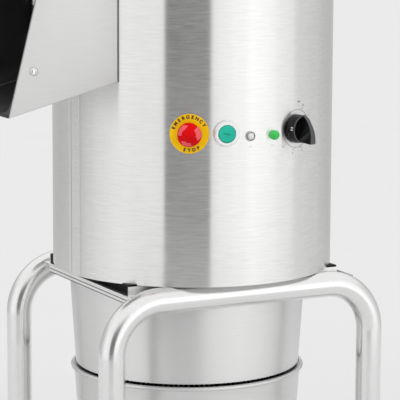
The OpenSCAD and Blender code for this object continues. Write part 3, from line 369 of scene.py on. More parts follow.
@dataclass(frozen=True)
class BrushedSteel(Finish):
    """Stainless sheet with fine polishing lines that all run one way."""

    colour: Colour = (0.80, 0.80, 0.79)
    roughness: float = 0.30
    stretch: float = 0.96
    grain: Grain = Grain.LEVEL
    lines: float = 0.06

    def dress(self, bench: Bench) -> None:
        """Lines vary the tone and the roughness, and faint clouds break them up.

        Args:
            bench: the bench that the material is made on.
        """
        lines = bench.noise(self.grain.value, 4.0, 0.75)
        clouds = bench.noise((7.0, 7.0, 5.0), 2.0)
        rough = bench.calc("ADD", bench.spread(lines, -0.03, 0.03),
                           bench.spread(clouds, self.roughness - 0.02, self.roughness + 0.03))
        bench.paint(Base_Color=bench.tones(lines, self.colour, 1 - self.lines, 1 + self.lines / 2),
                    Roughness=rough, Metallic=1.0, Anisotropic=self.stretch)
        bench.bump(lines, 0.004, 0.2 * MM)
        if self.stretch > 0:
            bench.paint(Tangent=bench.vector(Z=1.0))


@dataclass(frozen=True)
class Sieve(Finish):
    """Steel sheet with rows of punched holes round the drum's axis."""

    colour: Colour = (0.66, 0.66, 0.655)
    shade: Colour = (0.02, 0.02, 0.02)
    pitch: float = 9 * MM
    row_step: float = 0.87
    girth: float = 1.12
    hole: float = 0.30
    first_hole: float = 1000.0

    def dress(self, bench: Bench) -> None:
        """Holes are dark and sunk; each second row is set off by half a pitch.

        Args:
            bench: the bench that the material is made on.
        """
        calc = bench.calc
        split = bench.fill(bench.node("ShaderNodeSeparateXYZ"), Vector=bench.place).outputs
        turn = calc("ARCTAN2", split["Y"], calc("SUBTRACT", split["X"], DRUM.axis_x))
        row = calc("DIVIDE", split["Z"], self.pitch * self.row_step)
        odd = calc("MULTIPLY", calc("MODULO", calc("FLOOR", row), 2.0), 0.5)
        along = calc("MULTIPLY_ADD", turn, round(self.girth / self.pitch) / (2 * math.pi), odd)
        across = calc("SUBTRACT", calc("FRACT", calc("ADD", along, self.first_hole)), 0.5)
        up = calc("MULTIPLY", calc("SUBTRACT", calc("FRACT", row), 0.5), self.row_step)
        far = calc("SQRT", calc("ADD", calc("MULTIPLY", across, across), calc("MULTIPLY", up, up)))
        sheet = bench.spread(far, 0.0, 1.0, self.hole - 0.04, self.hole + 0.03)
        lines = bench.noise(Grain.LEVEL.value, 3.0)
        bench.paint(Base_Color=bench.mixed(sheet, self.shade, self.colour),
                    Roughness=bench.spread(lines, 0.34, 0.46), Metallic=sheet)
        bench.bump(sheet, 0.6, 1.0 * MM)


@dataclass(frozen=True)
class PolishedSteel(Finish):
    """Bright tube or turned steel with a slight waviness and faint draw marks."""

    colour: Colour = (0.86, 0.86, 0.85)
    roughness: float = 0.08
    wave: float = 0.05

    def dress(self, bench: Bench) -> None:
        """Waviness bends reflections; fingermarks and fine marks dull them a little.

        Args:
            bench: the bench that the material is made on.
        """
        marks = bench.noise((260.0, 260.0, 260.0), 4.0, 0.7)
        clouds = bench.noise((9.0, 9.0, 14.0), 3.0)
        bench.paint(Base_Color=bench.tones(marks, self.colour, 0.96, 1.02), Metallic=1.0,
                    Roughness=bench.spread(clouds, self.roughness * 0.7, self.roughness * 1.5))
        bench.bump(bench.noise((22.0, 22.0, 22.0), 1.0), self.wave, 2.0 * MM)


@dataclass(frozen=True)
class CastMetal(Finish):
    """Cast or painted metal with a pebbled skin."""

    colour: Colour = (0.35, 0.36, 0.37)
    roughness: float = 0.5
    metallic: float = 1.0
    skin: float = 600.0

    def dress(self, bench: Bench) -> None:
        """Pebbles in the bump, and clouds in the colour.

        Args:
            bench: the bench that the material is made on.
        """
        pebbles = bench.noise((self.skin,) * 3, 3.0)
        clouds = bench.noise((30.0,) * 3, 3.0)
        bench.paint(Base_Color=bench.tones(clouds, self.colour, 0.85, 1.1), Metallic=self.metallic,
                    Roughness=bench.spread(pebbles, self.roughness - 0.08, self.roughness + 0.1))
        bench.bump(pebbles, 0.35, 0.5 * MM)


@dataclass(frozen=True)
class Moulded(Finish):
    """Moulded plastic, rubber, paint or ink with a fine spark-eroded grain."""

    colour: Colour = (0.02, 0.02, 0.021)
    roughness: float = 0.4
    depth: float = 0.2
    gloss: float = 0.5

    def dress(self, bench: Bench) -> None:
        """Fine grain in the bump, slow change in tone and gloss.

        Args:
            bench: the bench that the material is made on.
        """
        grain = bench.noise((900.0,) * 3, 2.0)
        clouds = bench.noise((35.0,) * 3, 3.0)
        bench.paint(Base_Color=bench.tones(clouds, self.colour, 0.88, 1.1), Specular_IOR_Level=self.gloss,
                    Roughness=bench.spread(clouds, self.roughness * 0.88, self.roughness * 1.15))
        bench.bump(grain, self.depth, 0.2 * MM)


@dataclass(frozen=True)
class Abrasive(Finish):
    """Silicon carbide grit set in dark resin."""

    colour: Colour = (0.07, 0.068, 0.066)

    def dress(self, bench: Bench) -> None:
        """Grains as cells, each with its own tone and tilt.

        Args:
            bench: the bench that the material is made on.
        """
        cells = bench.fill(bench.node("ShaderNodeTexVoronoi", feature="F1"), Scale=1.0,
                           Vector=bench.stretched((520.0,) * 3)).outputs["Distance"]
        bench.paint(Base_Color=bench.mixed(bench.spread(cells, 0.0, 1.0, 0.1, 0.7),
                                           scaled(self.colour, 2.2), scaled(self.colour, 0.5)),
                    Roughness=bench.spread(cells, 0.35, 0.95, 0.1, 0.6))
        bench.bump(cells, 0.9, 1.2 * MM)


@dataclass(frozen=True)
class Clear(Finish):
    """Clear or tinted polycarbonate."""

    colour: Colour = (0.95, 0.97, 0.97)
    roughness: float = 0.04
    glow: float = 0.0
    clearness: float = 1.0

    def dress(self, bench: Bench) -> None:
        """Nearly clear, with fine scratches in the gloss.

        Args:
            bench: the bench that the material is made on.
        """
        scratches = bench.noise((60.0, 700.0, 90.0), 3.0)
        clouds = bench.noise((90.0,) * 3, 2.0)
        bench.paint(Base_Color=bench.tones(clouds, self.colour, 0.97, 1.0), IOR=1.49,
                    Roughness=bench.spread(scratches, self.roughness, self.roughness + 0.05),
                    Transmission_Weight=self.clearness)
        if self.glow:
            bench.paint(Emission_Color=(*self.colour, 1), Emission_Strength=self.glow)


class Finishes:
    """All finishes of the machine."""

    DRUM = BrushedSteel("steel_drum_brushed", roughness=0.22, stretch=1.0, lines=0.085)
    TRAY = BrushedSteel("steel_tray_bright", colour=(0.92, 0.92, 0.915), roughness=0.40,
                        stretch=0.0, lines=0.03)
    SHEET = BrushedSteel("steel_sheet_satin", colour=(0.74, 0.74, 0.735), roughness=0.36,
                         stretch=0.6, lines=0.05)
    DULL = BrushedSteel("steel_sheet_dull", colour=(0.62, 0.62, 0.615), roughness=0.42,
                        stretch=0.0, lines=0.05)
    LID = BrushedSteel("steel_lid", colour=(0.76, 0.76, 0.755), roughness=0.28, stretch=0.0,
                       grain=Grain.ALONG_X)
    CHUTE = BrushedSteel("steel_chute_satin", colour=(0.66, 0.66, 0.655), roughness=0.46,
                         stretch=0.0, lines=0.05)
    HOPPER = BrushedSteel("steel_hopper_satin", colour=(0.80, 0.80, 0.795), roughness=0.40,
                          stretch=0.8, lines=0.03)
    LAP = BrushedSteel("steel_lap_brushed", colour=(0.86, 0.86, 0.85), roughness=0.22, stretch=1.0,
                       lines=0.085)
    TUBE = PolishedSteel("steel_tube_polished", colour=(0.83, 0.83, 0.825), roughness=0.17, wave=0.015)
    RING = PolishedSteel("lamp_ring_dull", colour=(0.50, 0.50, 0.50), roughness=0.30, wave=0.01)
    BEZEL = PolishedSteel("bezel_satin_bright", colour=(0.96, 0.96, 0.96), roughness=0.46, wave=0.01)
    FASTENER = PolishedSteel("steel_fastener", colour=(0.78, 0.78, 0.77), roughness=0.18)
    ALLOY = CastMetal("alloy_cast", colour=(0.48, 0.49, 0.50), roughness=0.42)
    IRON = CastMetal("iron_cast", colour=(0.12, 0.12, 0.125), roughness=0.55, metallic=0.6)
    MOTOR = CastMetal("motor_paint", colour=(0.05, 0.10, 0.17), roughness=0.45, metallic=0.0)
    BRASS = CastMetal("brass_turned", colour=(0.72, 0.53, 0.25), roughness=0.28, skin=900.0)
    SIEVE = Sieve("steel_sieve")
    GRIT = Abrasive("abrasive_grit")
    RUBBER = Moulded("rubber_black", colour=(0.014, 0.014, 0.015), roughness=0.62, depth=0.35)
    # Black rubber pad under the drum, made darker than the other rubber as painted shade of the drum above
    # it.
    PAD_AND_SHADE = Moulded("rubber_pad_black_and_shade", colour=(0.003, 0.003, 0.0035), roughness=0.5, depth=0.2, gloss=0.15)
    GASKET = Moulded("rubber_gasket_grey", colour=(0.17, 0.17, 0.172), roughness=0.6, depth=0.2, gloss=0.3)
    # Dark grey for painted shade lines in grooves and along the seam.
    SHADE_LINE = Moulded("groove_shade", colour=(0.13, 0.13, 0.13), roughness=0.6, depth=0.05, gloss=0.2)
    LINER = Moulded("liner_black", colour=(0.020, 0.020, 0.021), roughness=0.34, depth=0.12)
    # Lighter grey for the rods in the sleeve's corners: a painted highlight.
    LINER_HIGHLIGHT = Moulded("liner_painted_highlight", colour=(0.09, 0.09, 0.09), roughness=0.45, depth=0.1)
    PLASTIC = Moulded("plastic_black", colour=(0.022, 0.022, 0.023), roughness=0.42)
    KNOB = Moulded("knob_black", colour=(0.004, 0.004, 0.0045), roughness=0.24, depth=0.05, gloss=0.32)
    # Lighter grey for the knob's ridge and rim: a painted highlight.
    KNOB_HIGHLIGHT = Moulded("knob_painted_highlight", colour=(0.070, 0.070, 0.071), roughness=0.42, depth=0.05, gloss=0.4)
    YELLOW = Moulded("plate_yellow", colour=(1.0, 0.56, 0.003), roughness=0.45, depth=0.04, gloss=0.12)
    RED = Moulded("mushroom_red", colour=(0.70, 0.001, 0.003), roughness=0.40, depth=0.05, gloss=0.10)
    PINK = Moulded("arrow_paint", colour=(0.84, 0.105, 0.125), roughness=0.45, depth=0.05, gloss=0.3)
    TEAL = Moulded("cap_teal", colour=(0.022, 0.50, 0.36), roughness=0.5, depth=0.05, gloss=0.15)
    TEAL_INK = Moulded("cap_engraving", colour=(0.012, 0.22, 0.16), roughness=0.5, depth=0.02, gloss=0.2)
    INK = Moulded("ink_black", colour=(0.02, 0.02, 0.02), roughness=0.55, depth=0.02)
    GREY_INK = Moulded("ink_grey", colour=(0.13, 0.13, 0.13), roughness=0.6, depth=0.02)
    WHITE_INK = Moulded("ink_white", colour=(0.8, 0.8, 0.8), roughness=0.55, depth=0.02)
    WINDOW = Clear("window_clear")
    LENS = Clear("lens_clear", colour=(0.88, 0.885, 0.88), roughness=0.18, clearness=0.15)
    GREEN = Clear("lens_green", colour=(0.045, 0.66, 0.11), roughness=0.14, glow=0.05, clearness=0.25)


def dress(finish: Finish, *nodes: str) -> None:
    """Gives solids of the frame a finish, and leaves their shape alone.

    Args:
        finish: the finish.
        nodes: names of the solids.
    """
    for name in nodes:
        solid = frame["nodes"][name]
        if not solid.material_slots:
            solid.data.materials.append(finish.material())
        for slot in solid.material_slots:
            slot.material = finish.material()


def fitted(name: str, mesh: bpy.types.Mesh, finish: Finish, body: str, slot: str,
           *replaced: str) -> None:
    """Args:
        name: the piece's name.
        mesh: its shape, already in its place.
        finish: its finish.
        body: body that it rides on.
        slot: material slot of the part that it belongs to; not used.
        replaced: solids that it stands for.
    """
    mesh.materials.clear()
    mesh.materials.append(finish.material())
    piece = bpy.data.objects.new(name, mesh)
    bpy.context.scene.collection.objects.link(piece)
    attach(piece, body)
    if replaced:
        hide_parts(*replaced)
    LOG.info("%s rides on %s, %d faces", name, body, len(mesh.polygons))


# ---------------------------------------------------------------- mesh tools

@contextmanager
def shaping(mesh: bpy.types.Mesh, source: bpy.types.Mesh | None = None,
            outwards: bool = False) -> Iterator[bmesh.types.BMesh]:
    """Opens work on points and faces, and writes it to a mesh at the end.

    Args:
        mesh: the mesh that is written.
        source: mesh that the work starts from, if any.
        outwards: True if every face is to be turned outwards at the end.

    Yields:
        The work.
    """
    work = bmesh.new()
    if source:
        work.from_mesh(source)
    yield work
    if outwards:
        bmesh.ops.recalc_face_normals(work, faces=work.faces)
    work.to_mesh(mesh)
    work.free()


def smooth(mesh: bpy.types.Mesh, angle: float = 35.0) -> bpy.types.Mesh:
    """Shades smooth, with edges sharper than the angle kept crisp.

    Args:
        mesh: the mesh.
        angle: the angle, in degrees.

    Returns:
        The same mesh.
    """
    mesh.shade_smooth()
    mesh.set_sharp_from_angle(angle=math.radians(angle))
    return mesh


def polar(radius: float, degrees: float) -> Point:
    """Point at a distance from the middle and a turn from +X towards +Y."""
    turn = math.radians(degrees)
    return radius * math.cos(turn), radius * math.sin(turn)


def revolved(profile: Sequence[Point], steps: int = 64,
             radius_at: Callable[[float, float], float] | None = None) -> bpy.types.Mesh:
    """Turns an outline about the Z axis.

    Args:
        profile: radius and height of each point, from the axis or closed on itself.
        steps: number of steps round the axis.
        radius_at: changes a point's radius by its radius and its angle.

    Returns:
        A closed mesh with smooth faces.
    """
    mesh = bpy.data.meshes.new("revolved")
    angles = [2 * math.pi * i / steps for i in range(steps)]
    with shaping(mesh, outwards=True) as work:
        rings = []
        for r, z in profile:
            reaches = [radius_at(r, a) if radius_at else r for a in angles]
            rings.append([work.verts.new((reach * math.cos(a), reach * math.sin(a), z))
                          for reach, a in zip(reaches, angles)])
        for low, high in zip(rings, rings[1:]):
            for i in range(steps):
                j = (i + 1) % steps
                work.faces.new((low[i], low[j], high[j], high[i]))
        bmesh.ops.remove_doubles(work, verts=work.verts, dist=1e-7)
        bmesh.ops.holes_fill(work, edges=[e for e in work.edges if e.is_boundary])
    return smooth(mesh)


def loft(name: str, *bodies: Sequence[Sequence[Sequence[float]]],
         strips: bool = False) -> bpy.types.Mesh:
    """Closed bodies, each drawn through loops of as many points, with flat ends.

    Args:
        name: the mesh's name.
        bodies: loops of each body, from one end to the other.
        strips: True if a loop's second half runs back under its first, so that
            four-cornered faces between the two close the ends.

    Returns:
        The bodies in one mesh.
    """
    mesh = bpy.data.meshes.new(name)
    with shaping(mesh, outwards=True) as work:
        for loops in bodies:
            made = [[work.verts.new(point) for point in loop] for loop in loops]
            for first, second in zip(made, made[1:]):
                for i in range(len(first)):
                    j = (i + 1) % len(first)
                    work.faces.new((first[i], first[j], second[j], second[i]))
            for end in (made[0][::-1], made[-1]):
                last = len(end) - 1
                faces = [(end[i], end[i + 1], end[last - i - 1], end[last - i])
                         for i in range(last // 2)] if strips else [end]
                for corners in faces:
                    work.faces.new(corners)
    return mesh


def prism(outline: Sequence[Point], low: float, high: float) -> bpy.types.Mesh:
    """Flat outline in X and Y, given a thickness along Z.

    Args:
        outline: its corners, in order.
        low: height of the underside.
        high: height of the top.

    Returns:
        The closed mesh.
    """
    mesh = bpy.data.meshes.new("prism")
    with shaping(mesh, outwards=True) as work:
        face = work.faces.new([work.verts.new((x, y, low)) for x, y in outline])
        made = bmesh.ops.extrude_face_region(work, geom=[face])["geom"]
        moved = [v for v in made if isinstance(v, bmesh.types.BMVert)]
        bmesh.ops.translate(work, verts=moved, vec=(0, 0, high - low))
    return mesh


def outward(mesh: bpy.types.Mesh) -> bpy.types.Mesh:
    """Turns every face outwards."""
    with shaping(mesh, mesh, outwards=True):
        return mesh


def box_mesh(low: Sequence[float], high: Sequence[float]) -> bpy.types.Mesh:
    """Box between two corners."""
    outline = [(low[0], low[1]), (high[0], low[1]), (high[0], high[1]), (low[0], high[1])]
    return prism(outline, low[2], high[2])


def bar(long: float, wide: float, thick: float, middle: Point = (0.0, 0.0)) -> bpy.types.Mesh:
    """Flat bar that stands on Z 0: its length along X, width, thickness and middle."""
    x, y = middle
    return box_mesh((x - long / 2, y - wide / 2, 0), (x + long / 2, y + wide / 2, thick))


def joined(meshes: Sequence[bpy.types.Mesh]) -> bpy.types.Mesh:
    """Puts several meshes into one.

    Args:
        meshes: the meshes.

    Returns:
        A new mesh that holds them all.
    """
    mesh = bpy.data.meshes.new("joined")
    with shaping(mesh) as work:
        for part in meshes:
            work.from_mesh(part)
    return mesh


def copies(part: bpy.types.Mesh, places: Sequence[Matrix]) -> bpy.types.Mesh:
    """Copies of a part at several places, in one mesh.

    Args:
        part: the part's mesh.
        places: one matrix for each copy.

    Returns:
        The copies' mesh.
    """
    parts = []
    for place in places:
        one = part.copy()
        one.transform(place)
        parts.append(one)
    return joined(parts)


def rounded_edges(mesh: bpy.types.Mesh, width: float) -> bpy.types.Mesh:
    """Rounds every edge that is sharper than 30 degrees.

    Args:
        mesh: the mesh.
        width: width of the rounding.

    Returns:
        The same mesh.
    """
    with shaping(mesh, mesh) as work:
        edges = [e for e in work.edges
                 if len(e.link_faces) == 2 and e.calc_face_angle(0) > math.radians(30)]
        bmesh.ops.bevel(work, geom=edges, offset=width, segments=2, affect="EDGES", profile=0.5,
                        clamp_overlap=True)
    return smooth(mesh)


def softened(node: str, width: float) -> bpy.types.Mesh:
    """Copy of a solid whose sharp edges are rounded.

    Args:
        node: the solid.
        width: width of the rounding; edges shorter than four widths stay as they are.

    Returns:
        The rounded mesh.
    """
    mesh = bpy.data.meshes.new(node + "_soft")
    with shaping(mesh, frame["nodes"][node].data) as work:
        bmesh.ops.remove_doubles(work, verts=work.verts, dist=1e-6)
        edges = [e for e in work.edges if len(e.link_faces) == 2 and e.calc_length() > 4 * width
                 and e.calc_face_angle(0) > math.radians(25)]
        bmesh.ops.bevel(work, geom=edges, offset=width, segments=3, affect="EDGES", profile=0.5,
                        clamp_overlap=True)
        bmesh.ops.triangulate(work, faces=[f for f in work.faces if len(f.verts) > 4])
    return smooth(mesh)


def rounded_copy(node: str, width: float, finish: Finish, body: str) -> None:
    """Puts a copy with rounded edges in a solid's place."""
    slot = frame["nodes"][node].material_slots[0].material.name
    fitted(node + "_rounded", softened(node, width), finish, body, slot, node)


def skin(mesh: bpy.types.Mesh, wanted: Callable[[bmesh.types.BMFace], bool],
         lift: float) -> bpy.types.Mesh:
    """Closed thin skin over some faces of a mesh.

    Args:
        mesh: the mesh that is covered.
        wanted: tells which faces are covered.
        lift: height of the skin's top over the faces.

    Returns:
        The skin as a mesh of its own.
    """
    made = bpy.data.meshes.new("skin")
    with shaping(made, mesh, outwards=True) as work:
        spare = [f for f in work.faces if not wanted(f)]
        bmesh.ops.delete(work, geom=spare, context="FACES")
        work.normal_update()
        for vertex, shift in [(v, v.normal * lift) for v in work.verts]:
            vertex.co += shift
        bmesh.ops.solidify(work, geom=work.faces[:], thickness=lift * 1.5)
    return smooth(made)


def lettering(words: str, size: float, lift: float, bold: float = 0.0) -> bpy.types.Mesh:
    """Raised letters, centred on their own middle and standing on Z 0.

    Args:
        words: what they say.
        size: height of a line of letters.
        lift: how far they stand out.
        bold: how much wider each stroke's sides lie.

    Returns:
        The letters' mesh.
    """
    curve = bpy.data.curves.new("letters", "FONT")
    for key, value in (("body", words), ("size", size), ("extrude", lift / 2), ("offset", bold),
                       ("align_x", "CENTER"), ("align_y", "CENTER"), ("resolution_u", 3)):
        setattr(curve, key, value)
    holder = bpy.data.objects.new("letters", curve)
    bpy.context.scene.collection.objects.link(holder)
    mesh = plain(holder)
    bpy.data.objects.remove(holder)
    mesh.transform(Matrix.Translation((0, 0, lift / 2)))
    return mesh


def plain(holder: bpy.types.Object) -> bpy.types.Mesh:
    """The mesh that an object's curve or modifiers end in.

    Args:
        holder: the object.

    Returns:
        A plain mesh of its own.
    """
    bpy.context.view_layer.update()
    graph = bpy.context.evaluated_depsgraph_get()
    return bpy.data.meshes.new_from_object(holder.evaluated_get(graph))


def arc_band(radius: float, width: float, lift: float, steps: int) -> bpy.types.Mesh:
    """Flat band round a full circle, from Z 0 to its thickness.

    Args:
        radius: middle radius of the band.
        width: width of the band.
        lift: thickness.
        steps: steps along the circle.

    Returns:
        The band's mesh.
    """
    turns = [360 * i / steps for i in range(steps + 1)]
    inner = [polar(radius - width / 2, turn) for turn in turns]
    outer = [polar(radius + width / 2, turn) for turn in turns]
    return prism(outer + inner[::-1], 0, lift)


def socket_head(radius: float, height: float) -> bpy.types.Mesh:
    """Button head with a hexagon socket, standing on Z 0.

    Args:
        radius: radius of the head.
        height: height of the head.

    Returns:
        The closed mesh.
    """
    socket = radius * 0.42
    floor = height * 0.55

    def hexed(r: float, a: float) -> float:
        """Hexagonal where the socket is, round elsewhere.

        Args:
            r: radius of a point.
            a: its angle.

        Returns:
            The point's new radius.
        """
        if r > socket * 1.01:
            return r
        side = (a % (math.pi / 3)) - math.pi / 6
        return r * math.cos(math.pi / 6) / math.cos(side)

    crown = [(radius * r, height * z) for r, z in ((0.5, 1.0), (0.8, 0.72), (0.97, 0.36))]
    profile = [(0, floor), (socket, floor), (socket, height * 0.97), *crown, (radius, 0), (0, 0)]
    return revolved(profile, 36, hexed)


# ---------------------------------------------------------------- repeats by rule

class Socket(Enum):
    """Kinds of input that a rule can have."""

    COUNT = "NodeSocketInt"
    LENGTH = "NodeSocketFloat"
    VECTOR = "NodeSocketVector"
    PART = "NodeSocketObject"
    FINISH = "NodeSocketMaterial"
    SHAPE = "NodeSocketGeometry"


class Rule(Tree):
    """Geometry Nodes tree that repeats a small part, with named inputs."""

    def __init__(self, name: str, **inputs: Socket) -> None:
        """Starts the tree with its inputs.

        Args:
            name: the tree's name.
            inputs: name and kind of each input.
        """
        super().__init__(bpy.data.node_groups.new(name, "GeometryNodeTree"))
        self.ids = {}
        for label, kind in {"Base": Socket.SHAPE, **inputs, "Part": Socket.PART,
                            "Finish": Socket.FINISH}.items():
            made = self.tree.interface.new_socket(label, in_out="INPUT", socket_type=kind.value)
            self.ids[label] = made.identifier
        self.tree.interface.new_socket("Result", in_out="OUTPUT", socket_type=Socket.SHAPE.value)
        self.given = self.node("NodeGroupInput").outputs
        self.exit = self.node("NodeGroupOutput")

    def close(self, points: bpy.types.NodeSocket, **placing: bpy.types.NodeSocket) -> None:
        """Puts the part on the points and ends in plain geometry with the finish.

        Args:
            points: where the parts stand.
            placing: Rotation and Scale of the parts, where they have their own.
        """
        part = self.fill(self.node("GeometryNodeObjectInfo"), Object=self.given["Part"])
        place = self.fill(self.node("GeometryNodeInstanceOnPoints"), Points=points,
                          Instance=part.outputs["Geometry"], **placing)
        real = self.fill(self.node("GeometryNodeRealizeInstances"),
                         Geometry=place.outputs["Instances"])
        paint = self.fill(self.node("GeometryNodeSetMaterial"), Geometry=real.outputs["Geometry"],
                          Material=self.given["Finish"])
        self.link(paint.outputs["Geometry"], self.exit.inputs["Result"])

    def made(self, name: str, part: bpy.types.Mesh, finish: Finish,
             base: bpy.types.Mesh | None = None, **values: object) -> bpy.types.Mesh:
        """Runs the rule and returns its result as a plain mesh.

        Args:
            name: name of the result.
            part: mesh that is repeated.
            finish: the result's finish.
            base: mesh that the rule works on, where it needs one.
            values: the rule's own inputs.

        Returns:
            The repeated parts in one mesh.
        """
        sample = bpy.data.objects.new(name + "_part", part)
        host = bpy.data.objects.new(name + "_host", base or bpy.data.meshes.new(name + "_base"))
        for helper in (sample, host):
            bpy.context.scene.collection.objects.link(helper)
        modifier = host.modifiers.new(name, "NODES")
        modifier.node_group = self.tree
        for label, value in {"Part": sample, "Finish": finish.material(), **values}.items():
            modifier[self.ids[label]] = value
        mesh = plain(host)
        mesh.name = name
        host.modifiers.remove(modifier)
        bpy.data.objects.remove(host)
        bpy.data.objects.remove(sample)
        return mesh


class Rules:
    """The rules that this machine's repeated parts follow."""

    def __init__(self) -> None:
        """Builds each tree once."""
        self.ring = self._ring()
        self.row = self._row()
        self.scatter = self._scatter()

    @staticmethod
    def _ring() -> Rule:
        """Parts at equal steps round a circle, each turned to face outwards.

        Returns:
            The rule.
        """
        rule = Rule("parts_in_a_ring", Count=Socket.COUNT, Radius=Socket.LENGTH,
                    Start=Socket.LENGTH, Sweep=Socket.LENGTH)
        given, calc = rule.given, rule.calc
        share = calc("DIVIDE", rule.node("GeometryNodeInputIndex").outputs[0], given["Count"])
        angle = calc("MULTIPLY_ADD", share, given["Sweep"], given["Start"])
        place = rule.vector(X=calc("MULTIPLY", calc("COSINE", angle), given["Radius"]),
                            Y=calc("MULTIPLY", calc("SINE", angle), given["Radius"]))
        points = rule.fill(rule.node("GeometryNodePoints"), Count=given["Count"], Position=place)
        rule.close(points.outputs[0], Rotation=rule.vector(Z=angle))
        return rule

    @staticmethod
    def _row() -> Rule:
        """Parts in a straight row with an equal step.

        Returns:
            The rule.
        """
        rule = Rule("parts_in_a_row", Count=Socket.COUNT, First=Socket.VECTOR, Step=Socket.VECTOR)
        line = rule.fill(rule.node("GeometryNodeMeshLine"), Count=rule.given["Count"],
                         Start_Location=rule.given["First"], Offset=rule.given["Step"])
        rule.close(line.outputs[0])
        return rule

    @staticmethod
    def _scatter() -> Rule:
        """Grains strewn over a base surface, each turned and sized at random.

        Returns:
            The rule.
        """
        rule = Rule("grains_on_a_face", Density=Socket.LENGTH, Seed=Socket.COUNT,
                    Smallest=Socket.LENGTH, Largest=Socket.LENGTH)
        given = rule.given
        strewn = rule.fill(rule.node("GeometryNodeDistributePointsOnFaces", distribute_method="RANDOM"),
                           Mesh=given["Base"], Density=given["Density"], Seed=given["Seed"])
        size = rule.node("FunctionNodeRandomValue", data_type="FLOAT")
        smallest, largest = [slot for slot in size.inputs if slot.type == "VALUE"][:2]
        rule.link(given["Smallest"], smallest)
        rule.link(given["Largest"], largest)
        rule.link(given["Seed"], size.inputs["Seed"])
        result = [slot for slot in size.outputs if slot.type == "VALUE"][0]
        rule.close(strewn.outputs["Points"], Rotation=strewn.outputs["Rotation"], Scale=result)
        return rule


RULES = Rules()


# ---------------------------------------------------------------- sub-assemblies

class Assembly:
    """A sub-assembly: it dresses its solids and adds its own parts."""

    def build(self) -> None:
        """Makes and dresses everything of the sub-assembly."""
        raise NotImplementedError


@dataclass
class Stand(Assembly):
    """Two bent-tube arches on rubber feet, tied by low tubes and a shelf."""

    bead: float = 3.2 * MM
    beads: int = 26
    foot_wall: float = 3 * MM
    foot_ribs: int = 3
    first_rib: float = 3.2 * MM
    rib_step: float = 2.4 * MM

    def build(self) -> None:
        """Dresses tubes, feet and shelf, and adds welds and foot ribs."""
        dress(Finishes.TUBE, "front_arch", "rear_arch", "stretchers")
        dress(Finishes.RUBBER, "feet")
        dress(Finishes.DULL, "shelf")
        self.welds()
        self.ribs()

    def legs(self) -> list[Vector]:
        """Middle of each foot, on the floor.

        Returns:
            The four places.
        """
        low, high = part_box("feet")
        radius = self.foot_radius()
        return [Vector((x, y, 0)) for x in (low.x + radius, high.x - radius)
                for y in (low.y + radius, high.y - radius)]

    def foot_radius(self) -> float:
        """Outer radius of a foot, from how far it stands out of the arches.

        Returns:
            The radius.
        """
        arch_low, arch_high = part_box("front_arch")
        tube = (arch_high.y - arch_low.y) / 2
        return tube + (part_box("feet")[1].x - arch_high.x)

    def welds(self) -> None:
        """Rings of weld beads where the low tubes meet the legs."""
        low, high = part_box("stretchers")
        outline = [(self.bead * r, self.bead * z)
                   for r, z in ((0, -0.5), (0.42, -0.3), (0.5, 0), (0.42, 0.3), (0, 0.5))]
        ring = RULES.ring.made("weld_ring", revolved(outline, 8), Finishes.FASTENER,
                               Count=self.beads, Radius=(high.z - low.z) / 2 + self.bead * 0.2,
                               Start=0.0, Sweep=2 * math.pi)
        ring.transform(QUARTER_TURN)
        leg = self.foot_radius() - self.foot_wall
        rings = []
        for foot in self.legs():
            part = ring.copy()
            for vertex in part.vertices:
                reach = math.sqrt(max(leg ** 2 - vertex.co.x ** 2, 0))
                vertex.co.y -= math.copysign(reach, foot.y)
            part.transform(Matrix.Translation((foot.x, foot.y, (low.z + high.z) / 2)))
            rings.append(part)
        fitted("stretcher_welds", smooth(joined(rings), 60), Finishes.FASTENER, "machine", "tube_steel")

    def ribs(self) -> None:
        """Grip ribs round each rubber foot."""
        inner, outer = self.foot_radius() - 1.2 * MM, self.foot_radius() + 0.25 * MM
        rib = revolved([(inner, -0.9 * MM), (outer, -0.5 * MM), (outer, 0.5 * MM), (inner, 0.9 * MM)], 48)
        stack = RULES.row.made("foot_rib_stack", rib, Finishes.RUBBER, Count=self.foot_ribs,
                               First=(0, 0, self.first_rib), Step=(0, 0, self.rib_step))
        mesh = copies(stack, [Matrix.Translation(foot) for foot in self.legs()])
        fitted("foot_ribs", mesh, Finishes.RUBBER, "machine", "black_rubber")


@dataclass
class Deck(Assembly):
    """Tray between the arches, rubber pad under the drum, and the hopper."""

    line: float = 1.3 * MM
    line_out: float = 0.12 * MM
    rim_back: float = 116 * MM

    def build(self) -> None:
        """Dresses tray, pad, strips and hopper."""
        dress(Finishes.TRAY, "deck_tray", "pad_strips")
        dress(Finishes.PAD_AND_SHADE, "base_pad")
        dress(Finishes.HOPPER, "peel_hopper")
        self.lines()

    def lines(self) -> None:
        """Painted shade lines along the tray's side rims, at their foot and in the groove half way up."""
        low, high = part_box("deck_tray")
        parts = [box_mesh((x - self.line_out, low.y + 6 * MM, foot),
                          (x + self.line_out, self.rim_back, foot + self.line))
                 for foot in (low.z - 0.1 * MM, (low.z + high.z) / 2 - self.line / 2)
                 for x in (low.x, high.x)]
        fitted("tray_grooves", joined(parts), Finishes.SHADE_LINE, "machine", "black_rubber")


